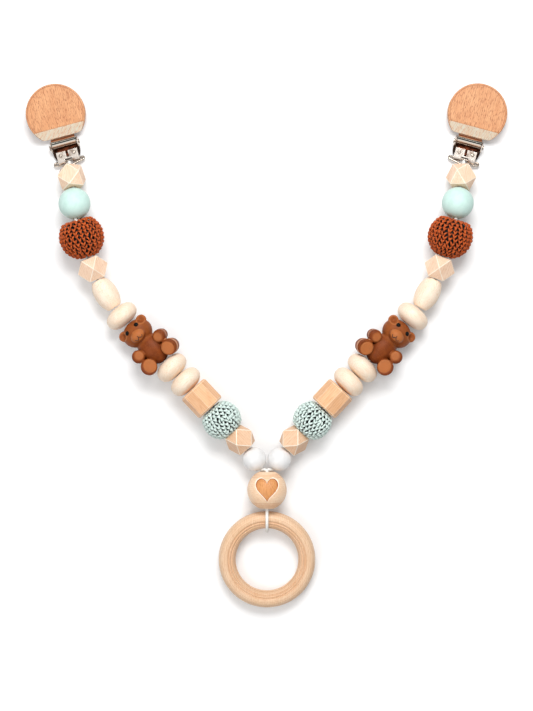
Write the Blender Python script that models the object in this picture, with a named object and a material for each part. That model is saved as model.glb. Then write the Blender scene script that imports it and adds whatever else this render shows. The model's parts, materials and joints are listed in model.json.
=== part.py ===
"""Pram chain toy: two strands of beads on one cord between two clips, with a heart bead and a ring below.

The chain lies on the plane z = 0 with its front up. Each strand is laid out from the heart bead outwards:
every bead has a heading and a slope, and follows the one before it at the bead gap. Lengths are in metres.
"""

import math

import bmesh
import bpy
from mathutils import Matrix, Vector

# Cord and clearances
cord_diameter = 0.00174
bead_bore = 0.0030
bead_gap = 0.00015
flex_gap = 0.0003
moving_gap = 0.0003
fixed_gap = 0.00015
cut_overrun = 0.001

# Round beads
heart_bead_diameter = 0.0222
heart_bead_bore = 0.0052
heart_mouth_flare = 0.0016
cord_pass_spacing = 0.0022
white_bead_diameter = 0.0134
white_gap = 0.0009
white_pair_gap = 0.0007
white_drop = 0.0014
mint_bead_diameter = 0.0178

# Faceted, barrel, lens and oval beads
facet_bead_edge = 0.0090
barrel_length = 0.0147
barrel_corner_diameter = 0.0177
barrel_chamfer = 0.0008
lens_diameter = 0.0188
lens_thickness = 0.0107
oval_length = 0.0178
oval_diameter = 0.0134
oval_end_diameter = 0.0076

# Crochet beads: a cover around a wooden core, thick at the side and thin at the flattened ends
rust_cover_diameter = 0.0255
rust_wall = 0.00315
rust_clip_wall = 0.0003
rust_heart_wall = 0.0021
mint_cover_diameter = 0.0222
mint_wall = 0.0031
mint_end_wall = 0.0006
cover_mouth = 0.0034
rust_core_diameter = rust_cover_diameter - 2 * (rust_wall + moving_gap)
rust_clip_half = rust_core_diameter / 2 + moving_gap + rust_clip_wall
rust_heart_half = rust_core_diameter / 2 + moving_gap + rust_heart_wall
mint_core_diameter = mint_cover_diameter - 2 * (mint_wall + moving_gap)
mint_cover_half = mint_core_diameter / 2 + moving_gap + mint_end_wall

# Teddy bead, measured along the bore, across it and towards the front
teddy_length = 0.0292
teddy_head_width = 0.0180
teddy_head_length = 0.0150
teddy_head_depth = 0.0156
teddy_neck_overlap = 0.0054
teddy_body_width = 0.0150
teddy_body_depth = 0.0148
teddy_ear_diameter = 0.0062
teddy_ear_depth = 0.0043
teddy_ear_spread = 0.0142
teddy_arm_diameter = 0.0074
teddy_arm_length = 0.0104
teddy_arm_spread = 0.0152
teddy_foot_diameter = 0.0094
teddy_foot_length = 0.0118
teddy_foot_spread = 0.0152
teddy_foot_proud = 0.0007
teddy_muzzle_width = 0.0096
teddy_muzzle_length = 0.0070
teddy_muzzle_depth = 0.0060
teddy_body_length = teddy_length - teddy_head_length + teddy_neck_overlap

# Ring and the cord that holds it
ring_diameter = 0.0545
ring_wall = 0.0096
ring_thickness = 0.0098
ring_heart_gap = 0.0012

# Wooden disc on each clip
disc_diameter = 0.0334
disc_thickness = 0.0060
disc_edge_radius = 0.0012
disc_cut_slant = 0.0048
disc_lip_gap = 0.0009
rivet_diameter = 0.0020
rivet_head_diameter = 0.0036
rivet_head_height = 0.0006
rivet_depth = 0.0034
rivet_edge = 0.0040
rivet_pad_room = 0.0026

# Pressed-metal clip: the bar's wire loop, then lengths from the bar towards the disc
sheet = 0.0007
bail_wire = 0.0014
bail_width = 0.0185
bail_depth = 0.0032
bail_corner_radius = 0.0008
bail_apex_radius = 0.0050
bail_rise = 0.0013
cord_loop_play = 0.0001
cord_notch_end = 0.0010
cord_notch_width = 0.0042
tongue_slot_start = 0.0017
tongue_slot_width = 0.0014
tongue_end = 0.0055
tongue_width = 0.0122
base_width = 0.0158
ear_start = 0.0060
ear_end = 0.0118
ear_top = 0.0064
pin_reach = 0.0087
pin_height = 0.0038
pin_diameter = 0.0018
pin_head_diameter = 0.0028
pin_head_length = 0.0005
lip_rear = 0.0085
lip_front = 0.0125
lip_height = 0.0028
cheek_radius = 0.0017
bar_reach = 0.0262

# Lengths from the disc's centre towards its free side
lever_front = 0.0128
base_front = 0.0140
base_front_taper = 0.0020
pad_start = 0.0038
pad_length = 0.0088
pad_width = 0.0104
pad_height = 0.0020
pad_tooth = 0.0008

# Layout of the strands, in degrees: heading from straight up towards the side, slope, and turn on the cord
bead_kinds = ["white", "facet", "mint_cover", "barrel", "lens", "lens", "teddy", "lens", "oval", "facet",
              "rust_cover", "mint", "facet"]
left_headings = [31.5, 42.2, 42.5, 43.4, 44.4, 44.7, 44.9, 40.5, 31.9, 21.9, 17.2, 6.5, 9.5]
right_headings = [34, 42.1, 42.2, 43, 44.9, 45.1, 45.1, 39.7, 29.1, 19.5, 17.1, 8, 10.4]
bead_slopes = [2, 3.5, 4, 0, -3, -4, -2, -1, 3, 6, 7, -12, -20]
left_turns = [0, 25, 0, -2, 0, 0, -5, 0, 0, 51, 0, 0, -10]
right_turns = [0, -25, 0, 2, 0, 0, 5, 0, 0, -51, 0, 0, 21]
clip_heading = 15.1
cord_ends_after = [0, 4, 7, 11]
ring_cord_start = 75
ring_cord_stop = 335
pad_teeth = 5
cheek_start = -160
cheek_stop = -10
cord_loop_turn = 240

# Outlines as shares of a half size
lens_bend_share = 0.36
ring_profile_shares = [(-1.0, 0.0), (-0.93, 0.42), (-0.72, 0.78), (-0.42, 0.96), (-0.12, 1.0), (0.10, 0.93),
                       (0.17, 0.86), (0.26, 0.93), (0.40, 0.89), (0.48, 0.76), (0.60, 0.78), (0.82, 0.56),
                       (0.95, 0.30), (1.0, 0.0), (0.92, -0.42), (0.66, -0.80), (0.30, -0.97), (-0.30, -1.0),
                       (-0.72, -0.78), (-0.93, -0.42)]
lens_profile_shares = [(0.28, 1.0), (0.55, 0.93), (0.78, 0.76), (0.94, 0.48), (1.0, 0.16)]
ear_profile_shares = [(1.0, 0.62), (0.80, 0.92), (0.50, 1.0), (0.22, 0.90), (0.0, 0.55)]
lip_profile_shares = [(0.0, 0.0), (0.07, 0.74), (0.26, 1.0), (0.45, 0.72), (0.64, 0.97), (0.87, 0.80),
                      (1.0, 0.45)]

# Facets and steps of round shapes
ball_segments = 18
ball_steps = 9
heart_segments = 22
heart_steps = 11
core_steps = 8
barrel_sides = 8
teddy_part_steps = 2
teddy_body_steps = 3
teddy_bore_segments = 12
bail_corner_steps = 5
cheek_steps = 4
cord_loop_steps = 8
settle_rounds = 8
ring_segments = 36
disc_segments = 40
cover_segments = 18
core_segments = 12
lens_segments = 16
bore_segments = 16
roll_steps = 6
ring_cord_steps = 12


def clear_scene():
    for item in list(bpy.data.objects):
        bpy.data.objects.remove(item, do_unlink=True)


def make_material(name, colour, roughness, metallic=0.0):
    material = bpy.data.materials.new(name)
    material.use_nodes = True
    shader = material.node_tree.nodes["Principled BSDF"]
    shader.inputs["Base Color"].default_value = (*colour, 1.0)
    shader.inputs["Roughness"].default_value = roughness
    shader.inputs["Metallic"].default_value = metallic
    return material


colours = {
    "wood": ((0.80, 0.60, 0.38), 0.55, 0.0),
    "pale_wood": ((0.93, 0.75, 0.53), 0.55, 0.0),
    "orange_wood": ((0.84, 0.50, 0.26), 0.55, 0.0),
    "mint_paint": ((0.62, 0.80, 0.72), 0.35, 0.0),
    "white_paint": ((0.92, 0.92, 0.90), 0.35, 0.0),
    "rust_yarn": ((0.50, 0.13, 0.04), 0.9, 0.0),
    "mint_yarn": ((0.58, 0.74, 0.70), 0.9, 0.0),
    "brown_silicone": ((0.30, 0.12, 0.05), 0.5, 0.0),
    "white_cord": ((0.90, 0.90, 0.88), 0.8, 0.0),
    "nickel": ((0.75, 0.75, 0.74), 0.25, 1.0),
    "clear_plastic": ((0.80, 0.80, 0.78), 0.4, 0.0),
}


def finish(name, mesh_maker, colour, matrix):
    """Makes the object that mesh_maker fills, with its own material, at the given place."""
    mesh = bpy.data.meshes.new(name)
    work = bmesh.new()
    mesh_maker(work)
    bmesh.ops.recalc_face_normals(work, faces=work.faces)
    work.to_mesh(mesh)
    work.free()
    item = bpy.data.objects.new(name, mesh)
    bpy.context.scene.collection.objects.link(item)
    item.matrix_world = matrix
    value, roughness, metallic = colours[colour]
    mesh.materials.append(make_material(name, value, roughness, metallic))
    return item


def shade_round(item):
    for face in item.data.polygons:
        face.use_smooth = True


def cut(item, cutter_name, mesh_maker, matrix, operation="DIFFERENCE"):
    """Adds a boolean with a hidden cutter that rides on the item."""
    mesh = bpy.data.meshes.new(cutter_name)
    work = bmesh.new()
    mesh_maker(work)
    bmesh.ops.recalc_face_normals(work, faces=work.faces)
    work.to_mesh(mesh)
    work.free()
    cutter = bpy.data.objects.new(cutter_name, mesh)
    bpy.context.scene.collection.objects.link(cutter)
    cutter.parent = item
    cutter.matrix_parent_inverse = Matrix.Identity(4)
    cutter.matrix_basis = matrix
    cutter.hide_render = True
    cutter.display_type = "WIRE"
    modifier = item.modifiers.new(cutter_name, "BOOLEAN")
    modifier.object = cutter
    modifier.operation = operation
    modifier.solver = "EXACT"
    return cutter


def lathe(work, profile, segments):
    """Turns a closed profile of (radius, height) pairs all the way round the Z axis."""
    rings = []
    for step in range(segments):
        angle = 2 * math.pi * step / segments
        rings.append([work.verts.new((r * math.cos(angle), r * math.sin(angle), z)) for r, z in profile])
    count = len(profile)
    for step in range(segments):
        here = rings[step]
        there = rings[(step + 1) % segments]
        for point in range(count):
            after = (point + 1) % count
            work.faces.new((here[point], here[after], there[after], there[point]))


def turned(work, profile, segments):
    """Turns a profile whose first and last points lie on the Z axis."""
    first = work.verts.new((0, 0, profile[0][1]))
    last = work.verts.new((0, 0, profile[-1][1]))
    rings = []
    for step in range(segments):
        angle = 2 * math.pi * step / segments
        rings.append([work.verts.new((r * math.cos(angle), r * math.sin(angle), z)) for r, z in profile[1:-1]])
    for step in range(segments):
        here = rings[step]
        there = rings[(step + 1) % segments]
        work.faces.new((first, here[0], there[0]))
        work.faces.new((last, there[-1], here[-1]))
        for point in range(len(here) - 1):
            work.faces.new((here[point], here[point + 1], there[point + 1], there[point]))


def rod(work, radius, length, segments=bore_segments):
    bmesh.ops.create_cone(work, cap_ends=True, segments=segments, radius1=radius, radius2=radius, depth=length)


def ball_profile(diameter, bore, steps=ball_steps):
    radius = diameter / 2
    start = math.asin(bore / diameter)
    points = []
    for step in range(steps + 1):
        angle = start + (math.pi - 2 * start) * step / steps
        points.append((radius * math.sin(angle), radius * math.cos(angle)))
    return points


def ball_half(diameter, bore):
    return math.sqrt((diameter / 2) ** 2 - (bore / 2) ** 2)


def lens_profile():
    half = lens_thickness / 2
    radius = lens_diameter / 2
    upper = [(share * radius, height_share * half) for share, height_share in lens_profile_shares]
    lower = [(r, -z) for r, z in reversed(upper)]
    return [(bead_bore / 2, half), *upper, *lower, (bead_bore / 2, -half)]


def oval_profile():
    half = oval_length / 2
    radius = oval_diameter / 2
    flat = math.asin(oval_end_diameter / oval_diameter)
    stretch = half / math.cos(flat)
    points = [(bead_bore / 2, half)]
    for step in range(ball_steps + 1):
        angle = flat + (math.pi - 2 * flat) * step / ball_steps
        points.append((radius * math.sin(angle), stretch * math.cos(angle)))
    points.append((bead_bore / 2, -half))
    return points


def barrel_profile():
    half = barrel_length / 2
    radius = barrel_corner_diameter / 2
    shoulder = radius - barrel_chamfer
    side = half - barrel_chamfer
    return [(bead_bore / 2, half), (shoulder, half), (radius, side), (radius, -side), (shoulder, -half),
            (bead_bore / 2, -half)]


def cover_profile(diameter, top_half, bottom_half, core_diameter):
    """A cover with flattened ends, its inside one moving gap clear of the core."""
    radius = diameter / 2
    mouth = cover_mouth / 2
    start = math.acos(top_half / radius)
    stop = math.pi - math.acos(bottom_half / radius)
    points = [(mouth, top_half)]
    for step in range(ball_steps + 1):
        angle = start + (stop - start) * step / ball_steps
        points.append((radius * math.sin(angle), radius * math.cos(angle)))
    points.append((mouth, -bottom_half))
    inside = core_diameter / 2 + moving_gap
    tip = math.asin(mouth / inside)
    for step in range(ball_steps + 1):
        angle = math.pi - tip - (math.pi - 2 * tip) * step / ball_steps
        points.append((inside * math.sin(angle), inside * math.cos(angle)))
    return points


def make_ball(name, colour, diameter, bore, matrix):
    item = finish(name, lambda work: lathe(work, ball_profile(diameter, bore), ball_segments), colour, matrix)
    shade_round(item)
    return item


def make_facet_bead(name, matrix):
    """A block with six square and eight three-sided faces, its bore through two squares."""
    reach = facet_bead_edge / math.sqrt(2)

    def shape(work):
        corners = []
        for first in (-reach, reach):
            for second in (-reach, reach):
                corners.append(work.verts.new((first, second, 0)))
                corners.append(work.verts.new((first, 0, second)))
                corners.append(work.verts.new((0, first, second)))
        bmesh.ops.convex_hull(work, input=corners)
        bmesh.ops.dissolve_limit(work, angle_limit=math.radians(1), verts=work.verts, edges=work.edges)

    item = finish(name, shape, "wood", matrix)
    length = facet_bead_edge * math.sqrt(2) + cut_overrun
    cut(item, name + "_bore", lambda work: rod(work, bead_bore / 2, length), Matrix.Identity(4))
    return item


def make_cover(side, label, colour, diameter, halves, core_diameter, matrix):
    profile = cover_profile(diameter, *halves, core_diameter)
    cover = finish(f"{side}_{label}_cover", lambda work: lathe(work, profile, cover_segments), colour, matrix)
    shade_round(cover)
    core_profile = ball_profile(core_diameter, bead_bore, core_steps)
    core = finish(f"{side}_{label}_core", lambda work: lathe(work, core_profile, core_segments), "pale_wood",
                  matrix)
    shade_round(core)


def blob(work, size, centre, detail=teddy_part_steps):
    """A ball stretched to the given width, depth and length, in one closed skin."""
    made = bmesh.ops.create_icosphere(work, subdivisions=detail, radius=0.5)
    bmesh.ops.scale(work, vec=size, verts=made["verts"])
    bmesh.ops.translate(work, vec=centre, verts=made["verts"])


def make_teddy(name, matrix):
    """The figure stands along the bore, head outwards, with its front along local Y."""
    half = teddy_length / 2
    head_at = half - teddy_head_length / 2
    body_at = teddy_body_length / 2 - half
    foot_at = teddy_foot_diameter / 2 - half
    front = teddy_body_depth / 2
    muzzle_at = head_at - teddy_muzzle_length / 4
    item = finish(
        name,
        lambda work: blob(work, (teddy_body_width, teddy_body_depth, teddy_body_length), (0, 0, body_at),
                          teddy_body_steps),
        "brown_silicone",
        matrix,
    )
    pieces = [
        ("head", (teddy_head_width, teddy_head_depth, teddy_head_length), (0, 0, head_at)),
        ("muzzle", (teddy_muzzle_width, teddy_muzzle_depth, teddy_muzzle_length),
         (0, teddy_head_depth / 2 - teddy_muzzle_depth / 4, muzzle_at)),
    ]
    ear_at = half - teddy_ear_diameter / 2
    arm_at = body_at + teddy_arm_diameter / 2
    arm_front = front - teddy_arm_length / 2
    foot_front = front - teddy_foot_length / 2 + teddy_foot_proud
    for label, sign in (("left", -1), ("right", 1)):
        pieces.append((label + "_ear", (teddy_ear_diameter, teddy_ear_depth, teddy_ear_diameter),
                       (sign * teddy_ear_spread / 2, 0, ear_at)))
        pieces.append((label + "_arm", (teddy_arm_diameter, teddy_arm_length, teddy_arm_diameter),
                       (sign * teddy_arm_spread / 2, arm_front, arm_at)))
        pieces.append((label + "_foot", (teddy_foot_diameter, teddy_foot_length, teddy_foot_diameter),
                       (sign * teddy_foot_spread / 2, foot_front, foot_at)))
    for label, size, centre in pieces:
        cut(item, f"{name}_{label}", lambda work, s=size, c=centre: blob(work, s, c), Matrix.Identity(4),
            "UNION")
    bore_length = teddy_length + cut_overrun
    cut(item, name + "_bore", lambda work: rod(work, bead_bore / 2, bore_length, teddy_bore_segments),
        Matrix.Identity(4))
    shade_round(item)
    return item


def half_lengths(kind):
    """The lengths from a bead's centre to its heart-side mouth and to its clip-side mouth."""
    facet = facet_bead_edge / math.sqrt(2)
    lengths = {
        "white": (ball_half(white_bead_diameter, bead_bore),) * 2,
        "facet": (facet, facet),
        "mint_cover": (mint_cover_half, mint_cover_half),
        "barrel": (barrel_length / 2,) * 2,
        "lens": (lens_thickness / 2,) * 2,
        "teddy": (teddy_length / 2,) * 2,
        "oval": (oval_length / 2,) * 2,
        "rust_cover": (rust_heart_half, rust_clip_half),
        "mint": (ball_half(mint_bead_diameter, bead_bore),) * 2,
    }
    return lengths[kind]


def bend_room(kind, bend):
    """How far a bead reaches past its mouth when the face beside it is turned by the bend."""
    balls = {"white": white_bead_diameter, "mint": mint_bead_diameter}
    if kind in balls:
        return balls[kind] / 2 - ball_half(balls[kind], bead_bore) * math.cos(bend)
    flats = {
        "facet": facet_bead_edge / math.sqrt(2),
        "mint_cover": math.sqrt((mint_cover_diameter / 2) ** 2 - mint_cover_half ** 2),
        "rust_cover": math.sqrt((rust_cover_diameter / 2) ** 2 - rust_clip_half ** 2),
        "barrel": barrel_corner_diameter / 2 - barrel_chamfer,
        "lens": lens_diameter / 2 * lens_bend_share,
        "teddy": teddy_ear_diameter / 2,
        "oval": oval_end_diameter / 2,
    }
    return flats[kind] * math.sin(bend)


def direction(side, heading, slope):
    across = math.sin(math.radians(heading)) * side
    along = math.cos(math.radians(heading))
    level = math.cos(math.radians(slope))
    return Vector((across * level, along * level, math.sin(math.radians(slope))))


def bead_matrix(centre, axis, turn=0):
    """Local Z along the bore and local Y to the front, turned about the bore."""
    front = (Vector((0, 0, 1)) - axis * axis.z).normalized()
    across = front.cross(axis)
    matrix = Matrix((across, front, axis)).transposed().to_4x4()
    matrix.translation = centre
    return matrix @ Matrix.Rotation(math.radians(turn), 4, "Z")


def lay_out(side, headings, turns, heart_centre):
    """Centre, axis, turn and both mouths of each bead of one strand, from the heart bead outwards."""
    spacing = (heart_bead_diameter + white_bead_diameter) / 2 + white_gap
    across = (white_bead_diameter + white_pair_gap) / 2
    up = math.sqrt(spacing ** 2 - white_drop ** 2 - across ** 2)
    centre = heart_centre + Vector((side * across, up, -white_drop))
    beads = []
    for place, kind in enumerate(bead_kinds):
        axis = direction(side, headings[place], bead_slopes[place])
        inner, outer = half_lengths(kind)
        if beads:
            bend = beads[-1]["axis"].angle(axis)
            gap = flex_gap if place - 1 in cord_ends_after else bead_gap
            gap += min(bend_room(beads[-1]["kind"], bend), bend_room(kind, bend))
            between = (beads[-1]["axis"] + axis).normalized()
            centre = beads[-1]["outer"] + between * gap + axis * inner
        beads.append({"kind": kind, "centre": centre, "axis": axis, "turn": turns[place],
                      "inner": centre - axis * inner, "outer": centre + axis * outer})
    return beads


def make_bead(side, number, bead):
    matrix = bead_matrix(bead["centre"], bead["axis"], bead["turn"])
    kind = bead["kind"]
    name = f"{side}_{number:02d}_{kind}"
    if kind == "white":
        make_ball(name, "white_paint", white_bead_diameter, bead_bore, matrix)
    elif kind == "mint":
        make_ball(name, "mint_paint", mint_bead_diameter, bead_bore, matrix)
    elif kind == "facet":
        make_facet_bead(name, matrix)
    elif kind == "barrel":
        finish(name, lambda work: lathe(work, barrel_profile(), barrel_sides), "orange_wood", matrix)
    elif kind == "lens":
        shade_round(finish(name, lambda work: lathe(work, lens_profile(), lens_segments), "wood", matrix))
    elif kind == "oval":
        shade_round(finish(name, lambda work: lathe(work, oval_profile(), lens_segments), "pale_wood", matrix))
    elif kind == "mint_cover":
        halves = (mint_cover_half, mint_cover_half)
        label = f"{number:02d}_mint"
        make_cover(side, label, "mint_yarn", mint_cover_diameter, halves, mint_core_diameter, matrix)
    elif kind == "rust_cover":
        halves = (rust_clip_half, rust_heart_half)
        label = f"{number:02d}_rust"
        make_cover(side, label, "rust_yarn", rust_cover_diameter, halves, rust_core_diameter, matrix)
    elif kind == "teddy":
        make_teddy(name, matrix)


def through_beads(beads):
    """Cord points down the axis of each bead: both mouths and the middle."""
    points = []
    for bead in beads:
        points.extend([bead["inner"], bead["centre"], bead["outer"]])
    return points


def heart_profile():
    """A ball whose bore opens out at both mouths, so that the cord can bend there."""
    mouth = heart_bead_bore + 2 * heart_mouth_flare
    inside = ball_half(heart_bead_diameter, mouth) - heart_mouth_flare
    return [(heart_bead_bore / 2, inside), *ball_profile(heart_bead_diameter, mouth, heart_steps),
            (heart_bead_bore / 2, -inside)]


def make_heart_and_ring(heart_centre, strands):
    axis = Vector((0, 1, 0))
    heart = finish("heart_bead", lambda work: lathe(work, heart_profile(), heart_segments), "wood",
                   bead_matrix(heart_centre, axis))
    shade_round(heart)
    mouth = ball_half(heart_bead_diameter, heart_bead_bore + 2 * heart_mouth_flare)
    band = ring_wall / 2
    middle = (ring_diameter - ring_wall) / 2
    half = ring_thickness / 2
    cord_radius = cord_diameter / 2
    clear = cord_radius + moving_gap
    reach = max(math.hypot(share * band, height_share * half) for share, height_share in ring_profile_shares)
    around = reach + clear
    ring_top = heart_centre.y - heart_bead_diameter / 2 - ring_heart_gap
    pivot = Vector((heart_centre.x, ring_top - band, around + cord_radius))
    lean = 0
    for _ in range(settle_rounds):
        lean = min(math.asin((pivot.z + height_share * half * math.cos(lean)) / (2 * middle - share * band))
                   for share, height_share in ring_profile_shares if height_share < 0)

    def ring_shape(work):
        profile = [(middle - share * band, height_share * half) for share, height_share in ring_profile_shares]
        lathe(work, profile, ring_segments)
        bmesh.ops.translate(work, vec=(0, -middle, 0), verts=work.verts)

    ring = finish("ring", ring_shape, "wood", Matrix.Translation(pivot) @ Matrix.Rotation(lean, 4, "X"))
    shade_round(ring)

    upper = heart_centre.z + cord_pass_spacing / 2
    lower = heart_centre.z - cord_pass_spacing / 2
    x = heart_centre.x
    bottom_mouth = heart_centre.y - mouth
    top_mouth = heart_centre.y + mouth
    route = [Vector((x, y, upper)) for y in (top_mouth, heart_centre.y, bottom_mouth)]
    for step in range(ring_cord_steps + 1):
        angle = math.radians(ring_cord_start + (ring_cord_stop - ring_cord_start) * step / ring_cord_steps)
        route.append(pivot + Vector((0, math.cos(angle), math.sin(angle))) * around)
    route.extend([Vector((x, pivot.y + band + clear, pivot.z)),
                  Vector((x, bottom_mouth - moving_gap, lower - cord_radius / 2)),
                  Vector((x, bottom_mouth + heart_mouth_flare, lower)),
                  Vector((x, heart_centre.y, lower)), Vector((x, top_mouth, lower))])
    left, right = strands
    route = [left[0]["outer"], left[0]["centre"], left[0]["inner"], *route,
             right[0]["inner"], right[0]["centre"], right[0]["outer"]]
    make_cord("ring_cord", route, heart_centre)
    return pivot


def plan_clip(side, beads):
    """Where the bail's tip and the clip sit: the cord's loop just clears the last bead's face."""
    outward = direction(side, clip_heading, 0)
    mouth = beads[-1]["outer"]
    axis = beads[-1]["axis"]
    loop_reach = bail_wire / 2 + cord_loop_play + cord_diameter + moving_gap
    tip_height = bar_height() + bail_rise
    along = (loop_reach - (tip_height - mouth.z) * axis.z) / outward.dot(axis)
    tip = mouth + outward * along
    tip.z = tip_height
    bar = tip + outward * bail_depth
    bar.z = 0
    return {"outward": outward, "tip": tip, "bar": bar, "disc": bar + outward * bar_reach}


def bar_height():
    return sheet + fixed_gap + bail_wire / 2


def clip_matrix(plan):
    """Local Y points from the beads to the disc and Z up; the origin is under the bail's bar."""
    outward = plan["outward"]
    across = Vector((outward.y, -outward.x, 0))
    matrix = Matrix((across, outward, Vector((0, 0, 1)))).transposed().to_4x4()
    matrix.translation = plan["bar"]
    return matrix


def folded_sheet(work, rows, columns, kept):
    """Quads between neighbouring rows and columns where kept(row, column) says so."""
    grid = [[work.verts.new((x, y, z)) for x in columns] for y, z in rows]
    for row in range(len(rows) - 1):
        for column in range(len(columns) - 1):
            if kept(row, column):
                work.faces.new((grid[row][column], grid[row][column + 1], grid[row + 1][column + 1],
                                grid[row + 1][column]))
    return grid


def drop_loose(work):
    loose = [vert for vert in work.verts if not vert.link_faces]
    bmesh.ops.delete(work, geom=loose, context="VERTS")


def thicken(item):
    modifier = item.modifiers.new("sheet", "SOLIDIFY")
    modifier.thickness = sheet
    modifier.offset = 0
    modifier.use_even_offset = True


def half_base():
    """From the middle to the middle of the wall of an ear."""
    return (base_width - sheet) / 2


def half_lever():
    return half_base() - sheet - moving_gap


def lever_height():
    """The middle of the lever's plate: above the jaw pad, shut."""
    return sheet + fixed_gap + pad_height + moving_gap + sheet / 2


def base_shape(work):
    """Floor, two ears, and a tongue rolled back over the bail's bar with a notch for the cord."""
    low = sheet / 2
    roll = fixed_gap + bail_wire / 2 + sheet / 2
    rows = [(bar_reach + base_front, low), (bar_reach + base_front - base_front_taper, low),
            (ear_end, low), (ear_start, low), (tongue_end, low), (cord_notch_end, low)]
    notch_row = len(rows) - 1
    for step in range(roll_steps + 1):
        angle = math.pi * step / roll_steps
        rows.append((-roll * math.sin(angle), bar_height() - roll * math.cos(angle)))
    high = bar_height() + roll
    rows.extend([(cord_notch_end, high), (tongue_slot_start, high), (tongue_end, high)])
    slot_row = len(rows) - 2
    half = [tongue_slot_width / 2, cord_notch_width / 2, tongue_width / 2, half_base()]
    columns = [-value for value in reversed(half)] + half

    def kept(row, column):
        if row == 2:
            return True
        if column in (0, 6):
            return False
        if notch_row <= row < slot_row - 1:
            return column in (1, 5)
        return row != slot_row or column != 3

    grid = folded_sheet(work, rows, columns, kept)
    for column in (1, 6):
        grid[0][column].co.x *= 1 - base_front_taper / tongue_width
    for column in (0, 7):
        front = grid[2][column]
        rear = grid[3][column]
        length = ear_end - ear_start
        above = [work.verts.new((front.co.x, rear.co.y + (1 - share) * length, height_share * ear_top))
                 for share, height_share in ear_profile_shares]
        work.faces.new((front, rear, *above))
    drop_loose(work)


def lever_shape(work):
    """A plate under the disc whose rear is folded into a lip, with a cheek on each side for the pin."""
    middle = lever_height()
    length = lip_front - lip_rear
    rows = [(bar_reach + lever_front, middle)]
    for share, height_share in lip_profile_shares:
        rows.append((lip_front - share * length, middle + height_share * lip_height))
    grid = folded_sheet(work, rows, [-half_lever(), half_lever()], lambda row, column: True)
    for column in (0, 1):
        edge = [line[column] for line in grid[1:]]
        low = []
        for step in range(cheek_steps + 1):
            angle = math.radians(cheek_start + (cheek_stop - cheek_start) * step / cheek_steps)
            low.append(work.verts.new((edge[0].co.x, pin_reach + cheek_radius * math.cos(angle),
                                       pin_height + cheek_radius * math.sin(angle))))
        work.faces.new((*edge, *low))
    drop_loose(work)


def disc_cut_start():
    """Where the slant cut starts at the disc's underside, just clear of the lever's lip."""
    return lip_front + disc_lip_gap


def disc_shape(work):
    """A disc with a rounded edge, its rear side cut at a slant."""
    radius = disc_diameter / 2
    low = lever_height() + sheet / 2 + fixed_gap
    high = low + disc_thickness
    edge = disc_edge_radius
    profile = [(0, high), (radius - edge, high), (radius - edge / 3, high - edge / 3), (radius, high - edge),
               (radius, low + edge), (radius - edge / 3, low + edge / 3), (radius - edge, low), (0, low)]
    turned(work, profile, disc_segments)
    slant = Vector((0, -disc_thickness, disc_cut_slant)).normalized()
    made = bmesh.ops.bisect_plane(work, geom=list(work.verts) + list(work.edges) + list(work.faces),
                                  plane_co=(0, disc_cut_start() - bar_reach, low), plane_no=slant,
                                  clear_outer=True)
    edges = [item for item in made["geom_cut"] if isinstance(item, bmesh.types.BMEdge)]
    bmesh.ops.edgeloop_fill(work, edges=edges)
    bmesh.ops.translate(work, vec=(0, bar_reach, 0), verts=work.verts)


def pad_shape(work):
    """A strip with a row of teeth across the jaw."""
    low = sheet + fixed_gap
    front = bar_reach + pad_start + pad_length
    outline = [(front, low)]
    pitch = pad_length / pad_teeth
    for tooth in range(pad_teeth):
        outline.append((front - tooth * pitch, low + pad_height - pad_tooth))
        outline.append((front - (tooth + 0.5) * pitch, low + pad_height))
    outline.extend([(front - pad_length, low + pad_height - pad_tooth), (front - pad_length, low)])
    face = work.faces.new([work.verts.new((-pad_width / 2, y, z)) for y, z in outline])
    made = bmesh.ops.extrude_face_region(work, geom=[face])
    moved = [item for item in made["geom"] if isinstance(item, bmesh.types.BMVert)]
    bmesh.ops.translate(work, vec=(pad_width, 0, 0), verts=moved)


def rounded_outline(corners, radii, steps):
    """A closed outline in a plane with each corner rounded to its radius."""
    points = []
    for place, corner in enumerate(corners):
        before = (corners[place - 1] - corner).normalized()
        after = (corners[(place + 1) % len(corners)] - corner).normalized()
        half = before.angle(after) / 2
        radius = radii[place]
        centre = corner + (before + after).normalized() * radius / math.sin(half)
        start = corner + before * radius / math.tan(half) - centre
        stop = corner + after * radius / math.tan(half) - centre
        turn = start.angle(stop)
        for step in range(steps + 1):
            t = step / steps
            mixed = start * math.sin((1 - t) * turn) + stop * math.sin(t * turn)
            points.append(centre + mixed / math.sin(turn))
    return points


def make_bail(name, matrix, tip):
    """A flat three-sided wire loop, its bar in the roll of the base and its tip in the cord's loop."""
    reach = (bail_width - bail_wire) / 2
    lean = math.atan(bail_depth / reach)
    for _ in range(settle_rounds):
        corner = reach + bail_corner_radius * (1 / math.sin(lean / 2) - 1)
        depth = bail_depth + bail_apex_radius * (1 / math.cos(lean) - 1)
        lean = math.atan(depth / corner)
    scale = bail_rise / bail_depth
    corners = [Vector((-corner, 0, 0)), Vector((corner, 0, 0)), Vector((0, -depth, 0))]
    points = rounded_outline(corners, [bail_corner_radius, bail_corner_radius, bail_apex_radius],
                             bail_corner_steps)
    points = [Vector((point.x, point.y, bar_height() - point.y * scale)) for point in points]
    local_tip = matrix.inverted() @ tip
    make_wire(name, [point - local_tip for point in points], bail_wire, "nickel",
              matrix @ Matrix.Translation(local_tip), True)


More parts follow.
